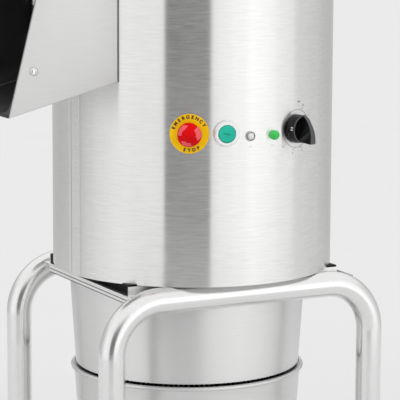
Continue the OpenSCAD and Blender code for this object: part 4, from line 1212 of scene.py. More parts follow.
@dataclass
class DrumBody(Assembly):
    """Casing with its lap seam and rims."""

    lap_width: float = 22.5 * MM
    lap_height: float = 0.55 * MM
    lap_from: float = 7.0 * MM
    flush: float = 0.12 * MM
    sunk: float = 0.05 * MM
    shade_width: float = 2.6 * MM
    seam_turn: float = -86.0
    foot: float = 0.8 * MM
    head: float = 8 * MM
    floor_rise: float = 35 * MM

    def build(self) -> None:
        """Dresses the casing and adds the lap of its seam."""
        dress(Finishes.DRUM, "casing", "top_rim")
        dress(Finishes.DULL, "base_plate")
        self.seam()

    def seam(self) -> None:
        """Overlapping edge of the sheet, a painted shade line on its crest and a painted shade band beside
        it.
        """
        start, end, crest, flat = self.lap_from, self.lap_from + self.lap_width, self.lap_height, -self.sunk
        lap = [(-3 * MM, -0.1 * MM), (-2 * MM, self.flush), (start - 0.6 * MM, self.flush),
               (start - 0.5 * MM, flat), (start, flat), (start + 0.3 * MM, crest),
               (end - 0.15 * MM, crest), (end, flat)]
        low, high = crest - 0.2 * MM, crest + 0.04 * MM
        line = [(start + x * MM, z) for x, z in ((0.25, low), (0.25, high), (0.80, high), (0.80, low))]
        shade = [(end - self.sunk, flat), (end - self.sunk, 0.10 * MM),
                 (end + self.shade_width, 0.08 * MM), (end + self.shade_width, flat)]
        # The line on the crest and the darker band beside the lap are painted shade.
        fitted("seam_lap", self.upright(lap), Finishes.LAP, "machine", "brushed_steel")
        fitted("seam_line", self.upright(line), Finishes.SHADE_LINE, "machine", "black_rubber")
        fitted("seam_shade", self.upright(shade), Finishes.SHEET, "machine", "brushed_steel")

    def upright(self, outline: Sequence[Point]) -> bpy.types.Mesh:
        """Strip of one section that runs up the drum, under and over the chute.

        Args:
            outline: section as distance along the wall and distance from it.

        Returns:
            The strip's two runs, bent to the drum.
        """
        low, high = (corner.z - DRUM.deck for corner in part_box("chute_shell"))
        runs = ((self.foot, low + self.floor_rise),
                (high + 0.5 * MM, DRUM.top - DRUM.deck - self.head))
        mesh = loft("upright", *([[(x, y, z) for x, z in outline] for y in run] for run in runs))
        DRUM.wrap(mesh, self.seam_turn, DRUM.deck)
        return mesh


@dataclass
class Chamber(Assembly):
    """Peeling chamber: cast floor, grit-lined wall and waved disc."""

    grain: float = 1.3 * MM
    flatness: float = 0.6
    wall_grains: float = 11000.0
    disc_grains: float = 26000.0
    seed: int = 7

    def build(self) -> None:
        """Dresses the chamber and strews grit on its wall and disc."""
        dress(Finishes.ALLOY, "chamber_floor")
        dress(Finishes.GRIT, "abrasive_liner", "peeling_disc")
        dress(Finishes.FASTENER, "drain_pipe", "disc_cap", "spray_nozzle")
        self.strew("abrasive_liner", "liner_grit", "machine", self.wall_grains, self.is_bore)
        self.strew("peeling_disc", "disc_grit", "rotor", self.disc_grains, self.is_top)

    @staticmethod
    def is_bore(face: bpy.types.MeshPolygon) -> bool:
        """True for faces of the liner's bore."""
        inward = Vector((DRUM.axis_x - face.center.x, -face.center.y, 0)).normalized()
        return face.normal.dot(inward) > 0.8

    @staticmethod
    def is_top(face: bpy.types.MeshPolygon) -> bool:
        """True for faces that look up."""
        return face.normal.z > 0.35

    def strew(self, node: str, name: str, body: str, density: float,
              wanted: Callable[[bpy.types.MeshPolygon], bool]) -> None:
        """Strews grains over the chosen faces of a solid.

        Args:
            node: solid that carries the grains.
            name: name of the new piece.
            body: body that the piece rides on.
            density: grains to a square metre.
            wanted: tells which faces carry grains.
        """
        source = frame["nodes"][node].data
        base = bpy.data.meshes.new(name + "_faces")
        with shaping(base) as work:
            for face in filter(wanted, source.polygons):
                work.faces.new([work.verts.new(source.vertices[i].co) for i in face.vertices])
        grain = bpy.data.meshes.new("grain")
        with shaping(grain) as work:
            bmesh.ops.create_icosphere(work, subdivisions=1, radius=self.grain / 2)
        grain.transform(Matrix.Diagonal((1, 1, self.flatness, 1)))
        mesh = RULES.scatter.made(name, grain, Finishes.GRIT, base, Density=density,
                                  Seed=self.seed, Smallest=0.5, Largest=1.2)
        fitted(name, mesh, Finishes.GRIT, body, "abrasive")


@dataclass
class Drive(Assembly):
    """Bearings, pulleys, belt and motor under the chamber."""

    def build(self) -> None:
        """Dresses the drive."""
        dress(Finishes.IRON, "bearing_housing")
        rounded_copy("motor_bracket", 1.0 * MM, Finishes.IRON, "machine")
        dress(Finishes.FASTENER, "bearings", "drive_shaft")
        dress(Finishes.MOTOR, "motor")
        dress(Finishes.RUBBER, "drive_belt")
        dress(Finishes.ALLOY, "driven_pulley", "motor_pulley")


@dataclass
class EmergencyStop(Assembly):
    """Yellow plate and red mushroom that latches when pressed."""

    letter: float = 7.0 * MM
    letter_bold: float = 0.36 * MM
    letter_radius: float = 24.9 * MM
    lift: float = 0.12 * MM
    plate: float = 1.0 * MM
    stem: float = 6.05 * MM
    lobes: float = 0.045
    head_base: float = 9.5 * MM
    brow: float = 4 * MM
    crown: float = 8 * MM
    fullness: float = 1.35

    def build(self) -> None:
        """Dresses the switch, letters its plate and shapes its head."""
        dress(Finishes.YELLOW, "stop_plate")
        dress(Finishes.PLASTIC, "stop_body", "stop_plunger")
        turn, height = DRUM.turn_of("stop_mushroom"), middle_of("stop_mushroom").z
        self.words(turn, height)
        self.head(DRUM.on_wall(turn, height, self.head_base))

    def words(self, turn: float, height: float) -> None:
        """Legend round the plate: one word above, one below.

        Args:
            turn: the plate's turn round the drum.
            height: its height above the floor.
        """
        parts = []
        for word, centre, step, foot in (("EMERGENCY", 95.5, -16.1, -90), ("STOP", -82.5, 16.5, 90)):
            for i, letter in enumerate(word):
                angle = centre + (i - (len(word) - 1) / 2) * step
                mesh = lettering(letter, self.letter, self.lift, self.letter_bold)
                mesh.transform(Matrix.Translation((*polar(self.letter_radius, angle), self.plate))
                               @ Matrix.Rotation(math.radians(angle + foot), 4, "Z"))
                parts.append(mesh)
        mesh = joined(parts)
        DRUM.wrap(mesh, turn, height)
        fitted("stop_legend", mesh, Finishes.INK, "machine", "black_plastic")

    def lobed(self, r: float, a: float) -> float:
        """Radius of the head with three shallow finger lobes."""
        share = min(1.0, max(0.0, (r - 8 * MM) / (5 * MM)))
        return r * (1 - self.lobes * share * (0.5 - 0.5 * math.cos(3 * a + 0.6)))

    def dome(self, share: float) -> float:
        """Height of the head's top over its underside, from 0 at the brow to 1 at the middle."""
        return self.brow + self.crown * share ** self.fullness

    def crest(self, reach: float, a: float, r: float) -> float:
        """Height of the lobed top at a distance and an angle from its axis.

        Args:
            reach: the distance.
            a: the angle, in radians.
            r: radius of the head without its lobes.

        Returns:
            The height in the head's own frame.
        """
        round_reach = reach
        for _ in range(6):
            round_reach *= reach / self.lobed(round_reach, a)
        return self.dome(math.sin(math.acos(min(1.0, round_reach / r))))

    def head(self, place: Matrix) -> None:
        """Mushroom head with three twist arrows, in its place.

        Args:
            place: the head's own frame, with Z out of the wall.
        """
        low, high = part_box("stop_mushroom")
        r = (high.z - low.z) / 2
        under = [(self.stem, -1 * MM), (10 * MM, -1 * MM), (r - 3 * MM, 0.8 * MM), (r - 1.2 * MM, 1.3 * MM),
                 (r - 0.3 * MM, 2.2 * MM), (r, 3.4 * MM), (r - 0.1 * MM, 4.8 * MM)]
        over = [(polar(r, a)[0], self.dome(polar(1, a)[1])) for a in range(12, 91, 3)]
        inside = [(0, self.dome(1)), (0, self.brow), (self.stem, self.brow)]
        mesh = revolved(under + over + inside, 96, self.lobed)
        mesh.transform(place)
        fitted("stop_head_lobed", mesh, Finishes.RED, "stop_head", "red_cap", "stop_mushroom")
        arrows = joined([self.arrow(r, width * r, start, end) for start, end, width
                         in ((182, 98, 0.30), (46, -32, 0.42), (282, 216, 0.30))])
        arrows.transform(place)
        fitted("stop_arrows", smooth(arrows, 50), Finishes.PINK, "stop_head", "red_cap")

    def arrow(self, r: float, width: float, start: float, end: float) -> bpy.types.Mesh:
        """Curved arrow that lies on the head's crest.

        Args:
            r: radius of the head.
            width: width of the arrow's shaft.
            start: turn of its tail, in degrees from +X towards +Y.
            end: turn of its tip.

        Returns:
            A closed skin a little above the head, with its underside sunk in it.
        """
        steps, rows, middle, neck = 28, 8, 0.76 * r, 0.62
        loops = []
        for i in range(steps + 1):
            share = i / steps
            half = width / 2 if share < neck else (width / 2 + 1.3 * MM) * (1.02 - share) / 0.4
            a = start + (end - start) * share
            reaches = [min(middle + half * (2 * j / rows - 1), r - 0.4 * MM) for j in range(rows + 1)]
            top, under = ([(*polar(reach, a), self.crest(reach, math.radians(a), r) + lift)
                           for reach in reaches] for lift in (0.12 * MM, -0.5 * MM))
            loops.append(top + under[::-1])
        return loft("arrow", loops, strips=True)


@dataclass
class StartButton(Assembly):
    """Teal cap in a bright bezel."""

    mark_long: float = 10.8 * MM
    mark_wide: float = 1.6 * MM
    mark_turn: float = -13.0
    cap_out: float = 9.4 * MM

    def build(self) -> None:
        """Dresses the button and marks its cap with a bar."""
        dress(Finishes.BEZEL, "start_bezel")
        dress(Finishes.TEAL, "start_cap")
        mark = rounded_edges(bar(self.mark_long, self.mark_wide, 0.2 * MM), 0.08 * MM)
        mark.transform(DRUM.on_wall(DRUM.turn_of("start_bezel"), middle_of("start_cap").z, self.cap_out)
                       @ Matrix.Rotation(math.radians(self.mark_turn), 4, "Z"))
        fitted("start_mark", mark, Finishes.TEAL_INK, "start_button", "green_cap")


@dataclass
class Lamps(Assembly):
    """Two pilot lamps with small marks under them."""

    dome: float = 7.4 * MM
    dome_foot: float = 5.2 * MM
    stand_out: float = 5.2 * MM
    shank: float = -14 * MM
    ring_sunk: float = 3.2 * MM
    mark_drop: float = 16 * MM

    def build(self) -> None:
        """Dresses rings and lenses, and prints a mark under each."""
        dress(Finishes.LENS, "clear_lens")
        clear, green = ((DRUM.turn_of(node), middle_of(node).z) for node in ("clear_lens", "green_lens"))
        ring = revolved([(5.9 * MM, self.shank), (7.3 * MM, self.shank), (7.3 * MM, 2.6 * MM),
                         (6.9 * MM, 3.2 * MM), (6.4 * MM, 3.4 * MM), (5.9 * MM, 3.0 * MM),
                         (5.9 * MM, self.shank)], 72)
        rings = copies(ring, [DRUM.on_wall(*clear), DRUM.on_wall(*green, -self.ring_sunk)])
        washer = revolved([(5.0 * MM, -0.6 * MM), (10.4 * MM, -0.6 * MM), (10.4 * MM, 0.15 * MM),
                           (9.8 * MM, 0.3 * MM), (5.0 * MM, 0.3 * MM), (5.0 * MM, -0.6 * MM)], 72)
        washer.transform(DRUM.on_wall(*green))
        fitted("green_washer", washer, Finishes.BEZEL, "machine", "fastener_steel")
        fitted("lamp_bezels", rings, Finishes.RING, "machine", "fastener_steel", "lamp_rings")
        ball = [(x, self.stand_out + z) for x, z in (polar(self.dome, a) for a in range(-42, 90, 6))]
        dome = revolved([(0, self.shank), (self.dome_foot, self.shank), *ball,
                         (0, self.stand_out + self.dome)], 72)
        dome.transform(DRUM.on_wall(*green))
        fitted("green_dome", dome, Finishes.GREEN, "machine", "green_plastic", "green_lens")
        self.mark("clear_lamp_mark", clear, [bar(3.6 * MM, 0.5 * MM, 0.08 * MM)])
        self.mark("green_lamp_mark", green, [bar(0.5 * MM, 2.0 * MM, 0.08 * MM, (x * MM, 0))
                                             for x in (-1.6, 1.6)])

    def mark(self, name: str, lamp: Point, bars: Sequence[bpy.types.Mesh]) -> None:
        """Prints small bars under a lamp.

        Args:
            name: name of the mark.
            lamp: turn and height of the lamp.
            bars: the mark's bars.
        """
        mesh = joined(bars)
        DRUM.wrap(mesh, lamp[0], lamp[1] - self.mark_drop)
        fitted(name, mesh, Finishes.GREY_INK, "machine", "black_plastic")


@dataclass
class Timer(Assembly):
    """Clockwork timer: printed dial and pointer knob."""

    dial_radius: float = 28.7 * MM
    dial_line: float = 0.5 * MM
    tick_out: float = 3.2 * MM
    number_out: float = 8.6 * MM
    word_out: float = 12.0 * MM
    word_turn: float = 84.0
    shift: float = 1.5 * MM
    first: float = 67.0
    step: float = -34.0
    numbers: int = 7
    number: float = 3.6 * MM
    lift: float = 0.2 * MM
    face: float = 14.5 * MM
    slim: float = 0.91
    skirt_lean: float = 1.6 / 9.7
    index_turns: tuple[float, float] = (169.4, 178.6)

    def build(self) -> None:
        """Dresses the timer, prints its dial and marks its knob."""
        dress(Finishes.PLASTIC, "timer_body")
        turn, height = DRUM.turn_of("timer_knob"), middle_of("timer_knob").z
        low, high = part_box("timer_knob")
        skirt = (high.z - low.z) / 2 * self.slim
        self.knob(DRUM.on_wall(turn, height), skirt)
        self.dial(turn, height)
        self.index(DRUM.on_wall(turn, height), skirt)

    def dial(self, turn: float, height: float) -> None:
        """Circle, ticks and minute numbers, bent to the drum.

        Args:
            turn: turn of the knob's axis round the drum.
            height: height of that axis above the floor.
        """
        circle = arc_band(self.dial_radius, self.dial_line, self.lift, 96)
        ticks = RULES.ring.made("dial_ticks", bar(2.2 * MM, 0.6 * MM, self.lift), Finishes.GREY_INK,
                                Count=self.numbers, Radius=self.dial_radius + self.tick_out,
                                Start=math.radians(self.first),
                                Sweep=math.radians(self.step * self.numbers))
        legends = [(str(i), self.first + self.step * i, self.number, self.number_out)
                   for i in range(self.numbers)]
        parts = [circle, ticks]
        for words, angle, size, out in legends + [("MIN", self.word_turn, 0.75 * self.number, self.word_out)]:
            mesh = lettering(words, size, self.lift)
            mesh.transform(Matrix.Translation((*polar(self.dial_radius + out, angle), 0)))
            parts.append(mesh)
        mesh = joined(parts)
        mesh.transform(Matrix.Translation((self.shift, 0, 0)))
        DRUM.wrap(mesh, turn, height)
        fitted("timer_dial", mesh, Finishes.GREY_INK, "machine", "black_plastic")

    def knob(self, place: Matrix, skirt: float) -> None:
        """Knob with rounded edges, with a lighter grey painted highlight on its ridge and rim.

        Args:
            place: frame on the wall at the knob's axis.
            skirt: radius of the slimmed skirt.
        """
        mesh = softened("timer_knob", 0.7 * MM)
        mesh.transform(place.inverted())
        for vertex in mesh.vertices:
            if vertex.co.z < self.face + 0.9 * MM:
                vertex.co.x *= self.slim
                vertex.co.y *= self.slim

        def highlighted(face: bmesh.types.BMFace) -> bool:
            """True on the blade's ridge and on the skirt's rim.

            Args:
                face: a face of the knob.

            Returns:
                Whether it gets the painted highlight.
            """
            middle = face.calc_center_median()
            reach = math.hypot(middle.x, middle.y)
            ridge = middle.z > self.face + 0.8 * MM and face.normal.z > 0.25
            rim = abs(middle.z - self.face) < 0.9 * MM and skirt - 3.2 * MM < reach < skirt - 0.8 * MM
            return ridge or rim

        # Lighter grey skin on the ridge and rim: a painted highlight.
        edges = skin(mesh, highlighted, 0.06 * MM)
        mesh.transform(place)
        edges.transform(place)
        fitted("knob_body", mesh, Finishes.KNOB, "timer", "gloss_black", "timer_knob")
        fitted("knob_worn_edges", edges, Finishes.KNOB_HIGHLIGHT, "timer", "gloss_black")

    def index(self, place: Matrix, skirt: float) -> None:
        """White index of two short bars on the left side of the knob's skirt.

        Args:
            place: frame on the wall at the knob's axis.
            skirt: radius of the skirt at its foot.
        """
        parts = []
        for turn in self.index_turns:
            part = box_mesh((turn - 2.0, 8.6 * MM, 0), (turn + 2.0, 12.2 * MM, 0.45 * MM))
            for vertex in part.vertices:
                turned, z, lift = vertex.co
                r = skirt - self.skirt_lean * (z - 4.0 * MM) + lift - 0.1 * MM
                vertex.co = (*polar(r, turned), z)
            parts.append(part)
        mark = outward(joined(parts))
        mark.transform(place)
        fitted("knob_index", mark, Finishes.WHITE_INK, "timer", "gloss_black")


@dataclass
class Chute(Assembly):
    """Discharge chute with its black sleeve and screws."""

    slope: float = 14.5
    rod: float = 1.6 * MM
    hollow: float = 22 * MM
    run: float = 136 * MM
    sleeve_wall: float = 2.5 * MM
    sleeve_floor: float = 2.6 * MM
    mouth_in: float = 1.5 * MM
    lip_height: float = 5.0 * MM
    lip_half: float = 0.4 * MM

    def build(self) -> None:
        """Dresses the chute, rounds its folds and adds lip, fillets and screws."""
        fitted("chute_folded", softened("chute_shell", 1.2 * MM), Finishes.CHUTE, "machine",
               "brushed_steel", "chute_shell")
        dress(Finishes.GASKET, "chute_gasket")
        fitted("chute_sleeve", softened("chute_liner", 0.8 * MM), Finishes.LINER, "machine",
               "black_plastic", "chute_liner")
        self.fillets()
        self.lip()
        self.screws()

    @staticmethod
    def edge(node: str, up: Point, out: Point) -> Matrix:
        """Frame on the mouth's lower edge, with +X along the edge.

        Args:
            node: solid whose lower front edge is meant.
            up: direction of +Y, in the machine's X and Z.
            out: direction of +Z, in the machine's X and Z.

        Returns:
            The matrix from that frame to the machine's frame.
        """
        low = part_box(node)[0]
        return Matrix(((0, up[0], out[0], low.x), (1, 0, 0, 0), (0, up[1], out[1], low.z), (0, 0, 0, 1)))

    def fillets(self) -> None:
        """Hollow corners along the sleeve's floor, each with a lighter grey rod at its foot as a painted
        highlight.
        """
        wall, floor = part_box("chute_liner")[1].y - self.sleeve_wall, self.sleeve_floor
        inner, outer = wall - self.hollow, wall + 0.5 * MM
        hollows, lines = [], []
        for side in (-1, 1):
            arc = [(inner + x, floor + self.hollow + z)
                   for x, z in (polar(self.hollow, a) for a in range(-90, 1, 9))]
            outline = arc + [(outer, floor + self.hollow), (outer, floor - 0.6 * MM),
                             (inner, floor - 0.6 * MM)]
            part = prism([(side * x, z) for x, z in outline], -self.run, -self.mouth_in)
            for vertex in part.vertices:
                if vertex.co.z > -self.run / 2:
                    rise = max(0.0, vertex.co.y - floor)
                    vertex.co.z -= rise * math.tan(math.radians(2 * self.slope))
            hollows.append(part)
            # The rod at the hollow's foot is lighter grey: a painted highlight.
            foot = revolved([(0, 0), (self.rod, 0), (self.rod, self.run - self.mouth_in),
                             (0, self.run - self.mouth_in)], 12)
            foot.transform(Matrix.Translation((side * inner, floor - 0.7 * MM, -self.run)))
            lines.append(foot)
        along, across = polar(1, self.slope)
        place = self.edge("chute_liner", (-across, along), (-along, -across))
        for name, parts, finish in (("sleeve_hollows", hollows, Finishes.LINER),
                                    ("sleeve_fillets", lines, Finishes.LINER_HIGHLIGHT)):
            mesh = joined(parts)
            mesh.transform(place)
            fitted(name, smooth(outward(mesh)), finish, "machine", "black_plastic")

    def lip(self) -> None:
        """Black strip of the sleeve over the steel of the mouth's lower edge."""
        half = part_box("chute_liner")[1].y
        mesh = rounded_edges(box_mesh((-half, 0.15 * MM, -self.lip_half),
                                      (half, self.lip_height, self.lip_half)), 0.15 * MM)
        along, across = polar(1, self.slope)
        mesh.transform(self.edge("chute_shell", (across, along), (-along, across)))
        fitted("sleeve_lip", outward(mesh), Finishes.LINER, "machine", "black_plastic")

    def screws(self) -> None:
        """Domed screws with a hexagon recess, in place of the plain ones."""
        low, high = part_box("liner_screws")
        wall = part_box("chute_shell")[1].y
        places = [Matrix.Translation(((low.x + high.x) / 2, side * wall, (low.z + high.z) / 2))
                  @ Matrix.Rotation(math.radians(-90 * side), 4, "X") for side in (-1, 1)]
        mesh = copies(socket_head((high.z - low.z) / 2, 3.9 * MM), places)
        fitted("sleeve_screws", smooth(mesh), Finishes.FASTENER, "machine", "fastener_steel", "liner_screws")


@dataclass
class DischargeDoor(Assembly):
    """Moulded door, its frame, seal and latch."""

    def build(self) -> None:
        """Dresses the door."""
        dress(Finishes.FASTENER, "gate_hinge_pin")
        rounded_copy("gate_frame", 1.0 * MM, Finishes.DULL, "machine")
        rounded_copy("latch_keeper", 1.0 * MM, Finishes.FASTENER, "machine")
        rounded_copy("gate_door", 0.6 * MM, Finishes.PLASTIC, "gate")
        rounded_copy("latch_lever", 1.0 * MM, Finishes.PLASTIC, "latch")
        dress(Finishes.RUBBER, "gate_seal")


@dataclass
class Lid(Assembly):
    """Hinged lid with its window, bolts and bow handle."""

    bolts: int = 8
    bolt_radius: float = 4.5 * MM
    bolt_height: float = 3.5 * MM
    bolt_in: float = 7 * MM

    def build(self) -> None:
        """Dresses the lid."""
        rounded_copy("lid_shell", 1.5 * MM, Finishes.LID, "lid")
        dress(Finishes.WINDOW, "lid_window")
        dress(Finishes.RUBBER, "lid_gasket")
        rounded_copy("lid_handle", 1.5 * MM, Finishes.PLASTIC, "lid")
        rounded_copy("lid_bracket", 1.5 * MM, Finishes.DULL, "machine")
        self.window_bolts()

    def window_bolts(self) -> None:
        """Button heads with hexagon sockets, in place of the plain ones."""
        mesh = RULES.ring.made("window_bolt_ring", socket_head(self.bolt_radius, self.bolt_height),
                               Finishes.FASTENER, Count=self.bolts,
                               Radius=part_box("lid_window")[1].x - DRUM.axis_x - self.bolt_in,
                               Start=math.pi / self.bolts, Sweep=2 * math.pi)
        mesh.transform(Matrix.Translation((DRUM.axis_x, 0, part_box("window_bolts")[0].z)))
        fitted("window_bolt_heads", smooth(mesh), Finishes.FASTENER, "lid", "fastener_steel", "window_bolts")


@dataclass
class PeelContainer(Assembly):
    """Slide-out container with its sieve basket and handle."""

    def build(self) -> None:
        """Dresses the container."""
        rounded_copy("peel_container", 1.0 * MM, Finishes.SHEET, "container")
        dress(Finishes.SIEVE, "filter_basket")
        rounded_copy("container_handle", 1.5 * MM, Finishes.TUBE, "container")


@dataclass
class RearSide(Assembly):
    """Service cover with louvre hoods, screws, water inlet and cable gland."""

    rows: int = 5
    step: float = 18.8 * MM
    column_out: float = 24.5 * MM
    hood_long: float = 43 * MM
    hood_out: float = 6.5 * MM
    hood_wall: float = 0.9 * MM
    hood_end: float = 9 * MM
    hood_top: float = 3.4 * MM
    hood_drop: float = 5.2 * MM
    screw_radius: float = 4.5 * MM
    thread: float = 2.0 * MM
    turns: int = 10
    tail: float = 10.5 * MM
    ribs: int = 14

    def build(self) -> None:
        """Dresses the rear fittings and adds hoods, screws, thread and ribs."""
        self.hoods()
        self.screws()
        self.inlet()
        self.gland()

    def hood(self) -> bpy.types.Mesh:
        """One pressed hood that leans out over its slot, open below.

        Returns:
            The hood, with X along its slot and Z out of the cover.
        """
        steps = 24
        loops = []
        for i in range(steps + 1):
            x = self.hood_long * (i / steps - 0.5)
            near = min((self.hood_long / 2 - abs(x)) / self.hood_end, 1.0)
            rise = math.sqrt(max(0.02, 1 - (1 - near) ** 2))
            loop = []
            for inset, turns in ((0.0, range(0, 91, 15)), (self.hood_wall, range(90, -1, -15))):
                reach = max(self.hood_out * rise - inset, 0.1 * MM)
                for share, out in (polar(1, a) for a in turns):
                    sunk = 0.0 if out else 0.3 * MM
                    loop.append((x, self.hood_top - self.hood_drop * (1 - share), reach * out - sunk))
            loops.append(loop)
        return loft("hood", loops)

    def hoods(self) -> None:
        """Two columns of hoods over the cover's slots."""
        dress(Finishes.DRUM, "service_cover")
        low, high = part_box("service_cover")
        column = RULES.row.made("louvre_column", self.hood(), Finishes.DULL, Count=self.rows,
                                First=(0, 0, 0), Step=(0, self.step, 0))
        mesh = copies(column, [Matrix.Translation((side * self.column_out, 0, high.y - DRUM.radius))
                               for side in (-1, 1)])
        DRUM.wrap(mesh, 180, (low.z + high.z) / 2 - self.step * (self.rows - 1) / 2)
        fitted("louvre_hoods", smooth(mesh, 50), Finishes.DULL, "machine", "brushed_steel")

    def screws(self) -> None:
        """Button heads with hexagon sockets at the cover's corners."""
        low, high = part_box("cover_screws")
        inset = self.screw_radius
        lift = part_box("service_cover")[1].y - DRUM.radius
        places = [DRUM.on_wall(180 - math.degrees(math.asin((x - DRUM.axis_x) / DRUM.radius)), z, lift)
                  for x in (low.x + inset, high.x - inset) for z in (low.z + inset, high.z - inset)]
        mesh = copies(socket_head(self.screw_radius, 3 * MM), places)
        fitted("cover_screw_heads", smooth(mesh), Finishes.FASTENER, "machine", "fastener_steel",
               "cover_screws")

    def inlet(self) -> None:
        """Turned rings of thread on the hose tail, and its nut with rounded corners."""
        rounded_copy("water_inlet", 0.4 * MM, Finishes.BRASS, "machine")
        low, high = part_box("water_inlet")
        root, crest = self.tail - 0.8 * MM, self.tail + 0.5 * MM
        ridge = revolved([(root, -0.8 * MM), (crest, -0.15 * MM), (crest, 0.15 * MM), (root, 0.8 * MM),
                          (root, -0.8 * MM)], 48)
        rings = RULES.row.made("inlet_thread", ridge, Finishes.BRASS, Count=self.turns,
                               First=(0, 0, 0), Step=(0, 0, self.thread))
        start = high.y - 2 * MM - (self.turns - 1) * self.thread
        rings.transform(Matrix.Translation(((low.x + high.x) / 2, start, (low.z + high.z) / 2))
                        @ QUARTER_TURN.inverted())
        fitted("inlet_thread_rings", smooth(rings), Finishes.BRASS, "machine", "brass")

    def gland(self) -> None:
        """Grip ribs round the cable gland."""
        rounded_copy("cable_gland", 0.5 * MM, Finishes.PLASTIC, "machine")
        rib = rounded_edges(box_mesh((-0.8 * MM, -0.8 * MM, 4 * MM), (0.8 * MM, 0.8 * MM, 15 * MM)), 0.3 * MM)
        ribs = RULES.ring.made("gland_ribs", rib, Finishes.PLASTIC, Count=self.ribs, Radius=10 * MM,
                               Start=0.0, Sweep=2 * math.pi)
        ribs.transform(DRUM.on_wall(DRUM.turn_of("cable_gland"), middle_of("cable_gland").z))
        fitted("gland_grip_ribs", smooth(ribs), Finishes.PLASTIC, "machine", "black_plastic")


# ---------------------------------------------------------------- studio

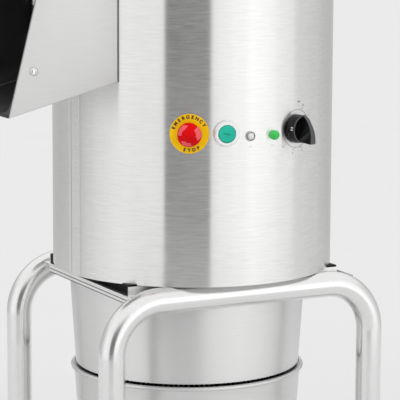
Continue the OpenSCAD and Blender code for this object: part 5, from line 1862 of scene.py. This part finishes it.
@dataclass
class Studio:
    """Floor, backdrop, lamps and camera."""

    view_turn: float = 27.6
    view_rise: float = 9.31
    distance: float = 3.5
    lens: float = 198.5
    target: tuple[float, float, float] = (0.06902, -0.00602, 0.53686)
    background: float = 0.785
    ambient: float = 0.75
    overhead: float = 1.0
    underfoot: float = 0.78
    floor_reach: float = 30.0
    floor_tones: tuple[float, float] = (0.775, 0.785)
    floor_fade: tuple[float, float] = (1.3, 2.6)
    roll: float = 0.25

    @staticmethod
    def towards(turn: float, rise: float) -> Vector:
        """Direction from the object, by a turn from the front to the left and a rise."""
        a, e = math.radians(turn), math.radians(rise)
        return Vector((-math.sin(a) * math.cos(e), -math.cos(a) * math.cos(e), math.sin(e)))

    def back(self) -> Vector:
        """Direction from the object to the camera."""
        return self.towards(self.view_turn, self.view_rise)

    def build(self) -> None:
        """Makes the whole studio."""
        self.camera()
        self.floor()
        self.world()
        self.lamps()
        bpy.context.scene.view_settings.view_transform = "Standard"

    def camera(self) -> None:
        """Long lens that looks down a little."""
        data = bpy.data.cameras.new("camera")
        data.lens = self.lens
        data.sensor_width = 36
        data.clip_end = 200
        camera = bpy.data.objects.new("camera", data)
        camera.location = Vector(self.target) + self.back() * self.distance
        aim = (-self.back()).to_track_quat("-Z", "Y").to_matrix()
        camera.rotation_euler = (aim @ Matrix.Rotation(math.radians(self.roll), 3, "Z")).to_euler()
        bpy.context.scene.collection.objects.link(camera)
        bpy.context.scene.camera = camera

    def floor(self) -> None:
        """Pale floor that keeps the object's shadow and runs into the backdrop."""
        mesh = bpy.data.meshes.new("floor")
        with shaping(mesh) as work:
            bmesh.ops.create_circle(work, cap_ends=True, segments=96, radius=self.floor_reach)
        floor = bpy.data.objects.new("floor", mesh)
        bpy.context.scene.collection.objects.link(floor)
        bench = Bench("floor_pale")
        dark, light = ((level,) * 3 for level in self.floor_tones)
        bench.paint(Base_Color=bench.mixed(bench.spread(bench.noise((3.0,) * 3, 2.0)), dark, light),
                    Roughness=0.9, Specular_IOR_Level=0.0)
        far = bench.node("ShaderNodeVectorMath", operation="LENGTH")
        bench.link(bench.place, far.inputs[0])
        reach = bench.spread(far.outputs["Value"], 0.0, 1.0, *self.floor_fade, "SMOOTHSTEP")
        path = bench.node("ShaderNodeLightPath")
        gone = bench.calc("MULTIPLY", path.outputs["Is Glossy Ray"], reach)
        clear = bench.node("ShaderNodeBsdfTransparent").outputs[0]
        bench.fill(bench.tree.nodes["Material Output"],
                   Surface=bench.blended(gone, bench.shader.outputs[0], clear))
        mesh.materials.append(bench.material)

    def world(self) -> None:
        """Even light, and for metal a soft studio with a dark gap at the camera."""
        world = bpy.data.worlds.new("studio")
        bpy.context.scene.world = world
        world.use_nodes = True
        tree = Tree(world.node_tree)
        tree.tree.nodes.clear()
        colours = [(level, level, level, 1) for level in (self.ambient, self.background)]
        even, pale, studio = (tree.fill(tree.node("ShaderNodeBackground"), Color=colour).outputs[0]
                              for colour in (*colours, self.walls(tree)))
        path = tree.node("ShaderNodeLightPath").outputs
        seen = tree.calc("MAXIMUM", path["Is Camera Ray"], path["Is Transmission Ray"])
        light = tree.blended(seen, tree.blended(path["Is Glossy Ray"], even, studio), pale)
        tree.fill(tree.node("ShaderNodeOutputWorld"), Surface=light)

    def walls(self, tree: Tree) -> bpy.types.NodeSocket:
        """Colour of the studio round the object, by the direction of a ray.

        Args:
            tree: the world's tree.

        Returns:
            The socket of the colour.
        """
        ray = tree.node("ShaderNodeTexCoord").outputs["Generated"]
        flat = Vector((self.back().x, self.back().y, 0)).normalized()
        parts = []
        for axis in (flat, Vector((-flat.y, flat.x, 0))):
            dot = tree.node("ShaderNodeVectorMath", operation="DOT_PRODUCT")
            tree.link(ray, dot.inputs[0])
            dot.inputs[1].default_value = axis
            parts.append(dot.outputs["Value"])
        angle = tree.calc("ARCTAN2", parts[1], parts[0])
        ramp = tree.node("ShaderNodeValToRGB")
        ramp.color_ramp.interpolation = "EASE"
        bands = self.bands()
        while len(ramp.color_ramp.elements) < len(bands):
            ramp.color_ramp.elements.new(0.5)
        for element, (turn, level) in zip(ramp.color_ramp.elements, bands):
            element.position = 0.5 + turn / 360
            element.color = (level, level, level, 1)
        tree.fill(ramp, Fac=tree.calc("MULTIPLY_ADD", angle, 0.5 / math.pi, 0.5))
        shade = ramp.outputs["Color"]
        rise = tree.fill(tree.node("ShaderNodeSeparateXYZ"), Vector=ray).outputs["Z"]
        for level, low, high in ((self.overhead, 0.20, 0.60), (self.underfoot, -0.30, -0.65)):
            share = tree.spread(rise, 0.0, 1.0, low, high, "SMOOTHSTEP")
            shade = tree.mixed(share, shade, (level,) * 3)
        return shade

    @staticmethod
    def bands() -> list[Point]:
        """Brightness of the studio by turn from the camera, in degrees to its right.

        Returns:
            Turn and brightness of each stop.
        """
        return [(-180, 0.55), (-140, 0.55), (-118, 0.60), (-104, 0.62), (-92, 0.77), (-80, 0.93),
                (-60, 1.08), (-42, 1.02), (-23, 1.0), (-21, 0.19), (14.4, 0.19), (16.2, 1.05),
                (25, 1.15), (38, 1.25), (51, 1.38), (66, 1.25), (81, 1.08), (99, 0.80),
                (120, 0.72), (136, 0.62), (152, 0.56), (180, 0.55)]

    def lamps(self) -> None:
        """Two broad, soft lamps."""
        for name, turn, rise, power in (("key", 55.0, 50.0, 0.9), ("fill", -50.0, 40.0, 0.45)):
            data = bpy.data.lights.new(name, "SUN")
            data.energy = power
            data.angle = math.radians(40)
            lamp = bpy.data.objects.new(name, data)
            towards = self.towards(self.view_turn - turn, rise)
            lamp.rotation_euler = towards.to_track_quat("Z", "Y").to_euler()
            lamp.visible_glossy = False
            bpy.context.scene.collection.objects.link(lamp)


# ---------------------------------------------------------------- the whole machine


def main() -> None:
    """Builds the machine in order, then its studio."""
    logging.basicConfig(level=logging.INFO, format="%(name)s: %(message)s")
    Studio().build()
    for part in (Stand(), Deck(), DrumBody(), Chamber(), Drive(), EmergencyStop(), StartButton(),
                 Lamps(), Timer(), Chute(), DischargeDoor(), Lid(), PeelContainer(), RearSide()):
        part.build()
        LOG.info("%s is dressed", type(part).__name__)


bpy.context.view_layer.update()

if __name__ == "__main__":
    main()
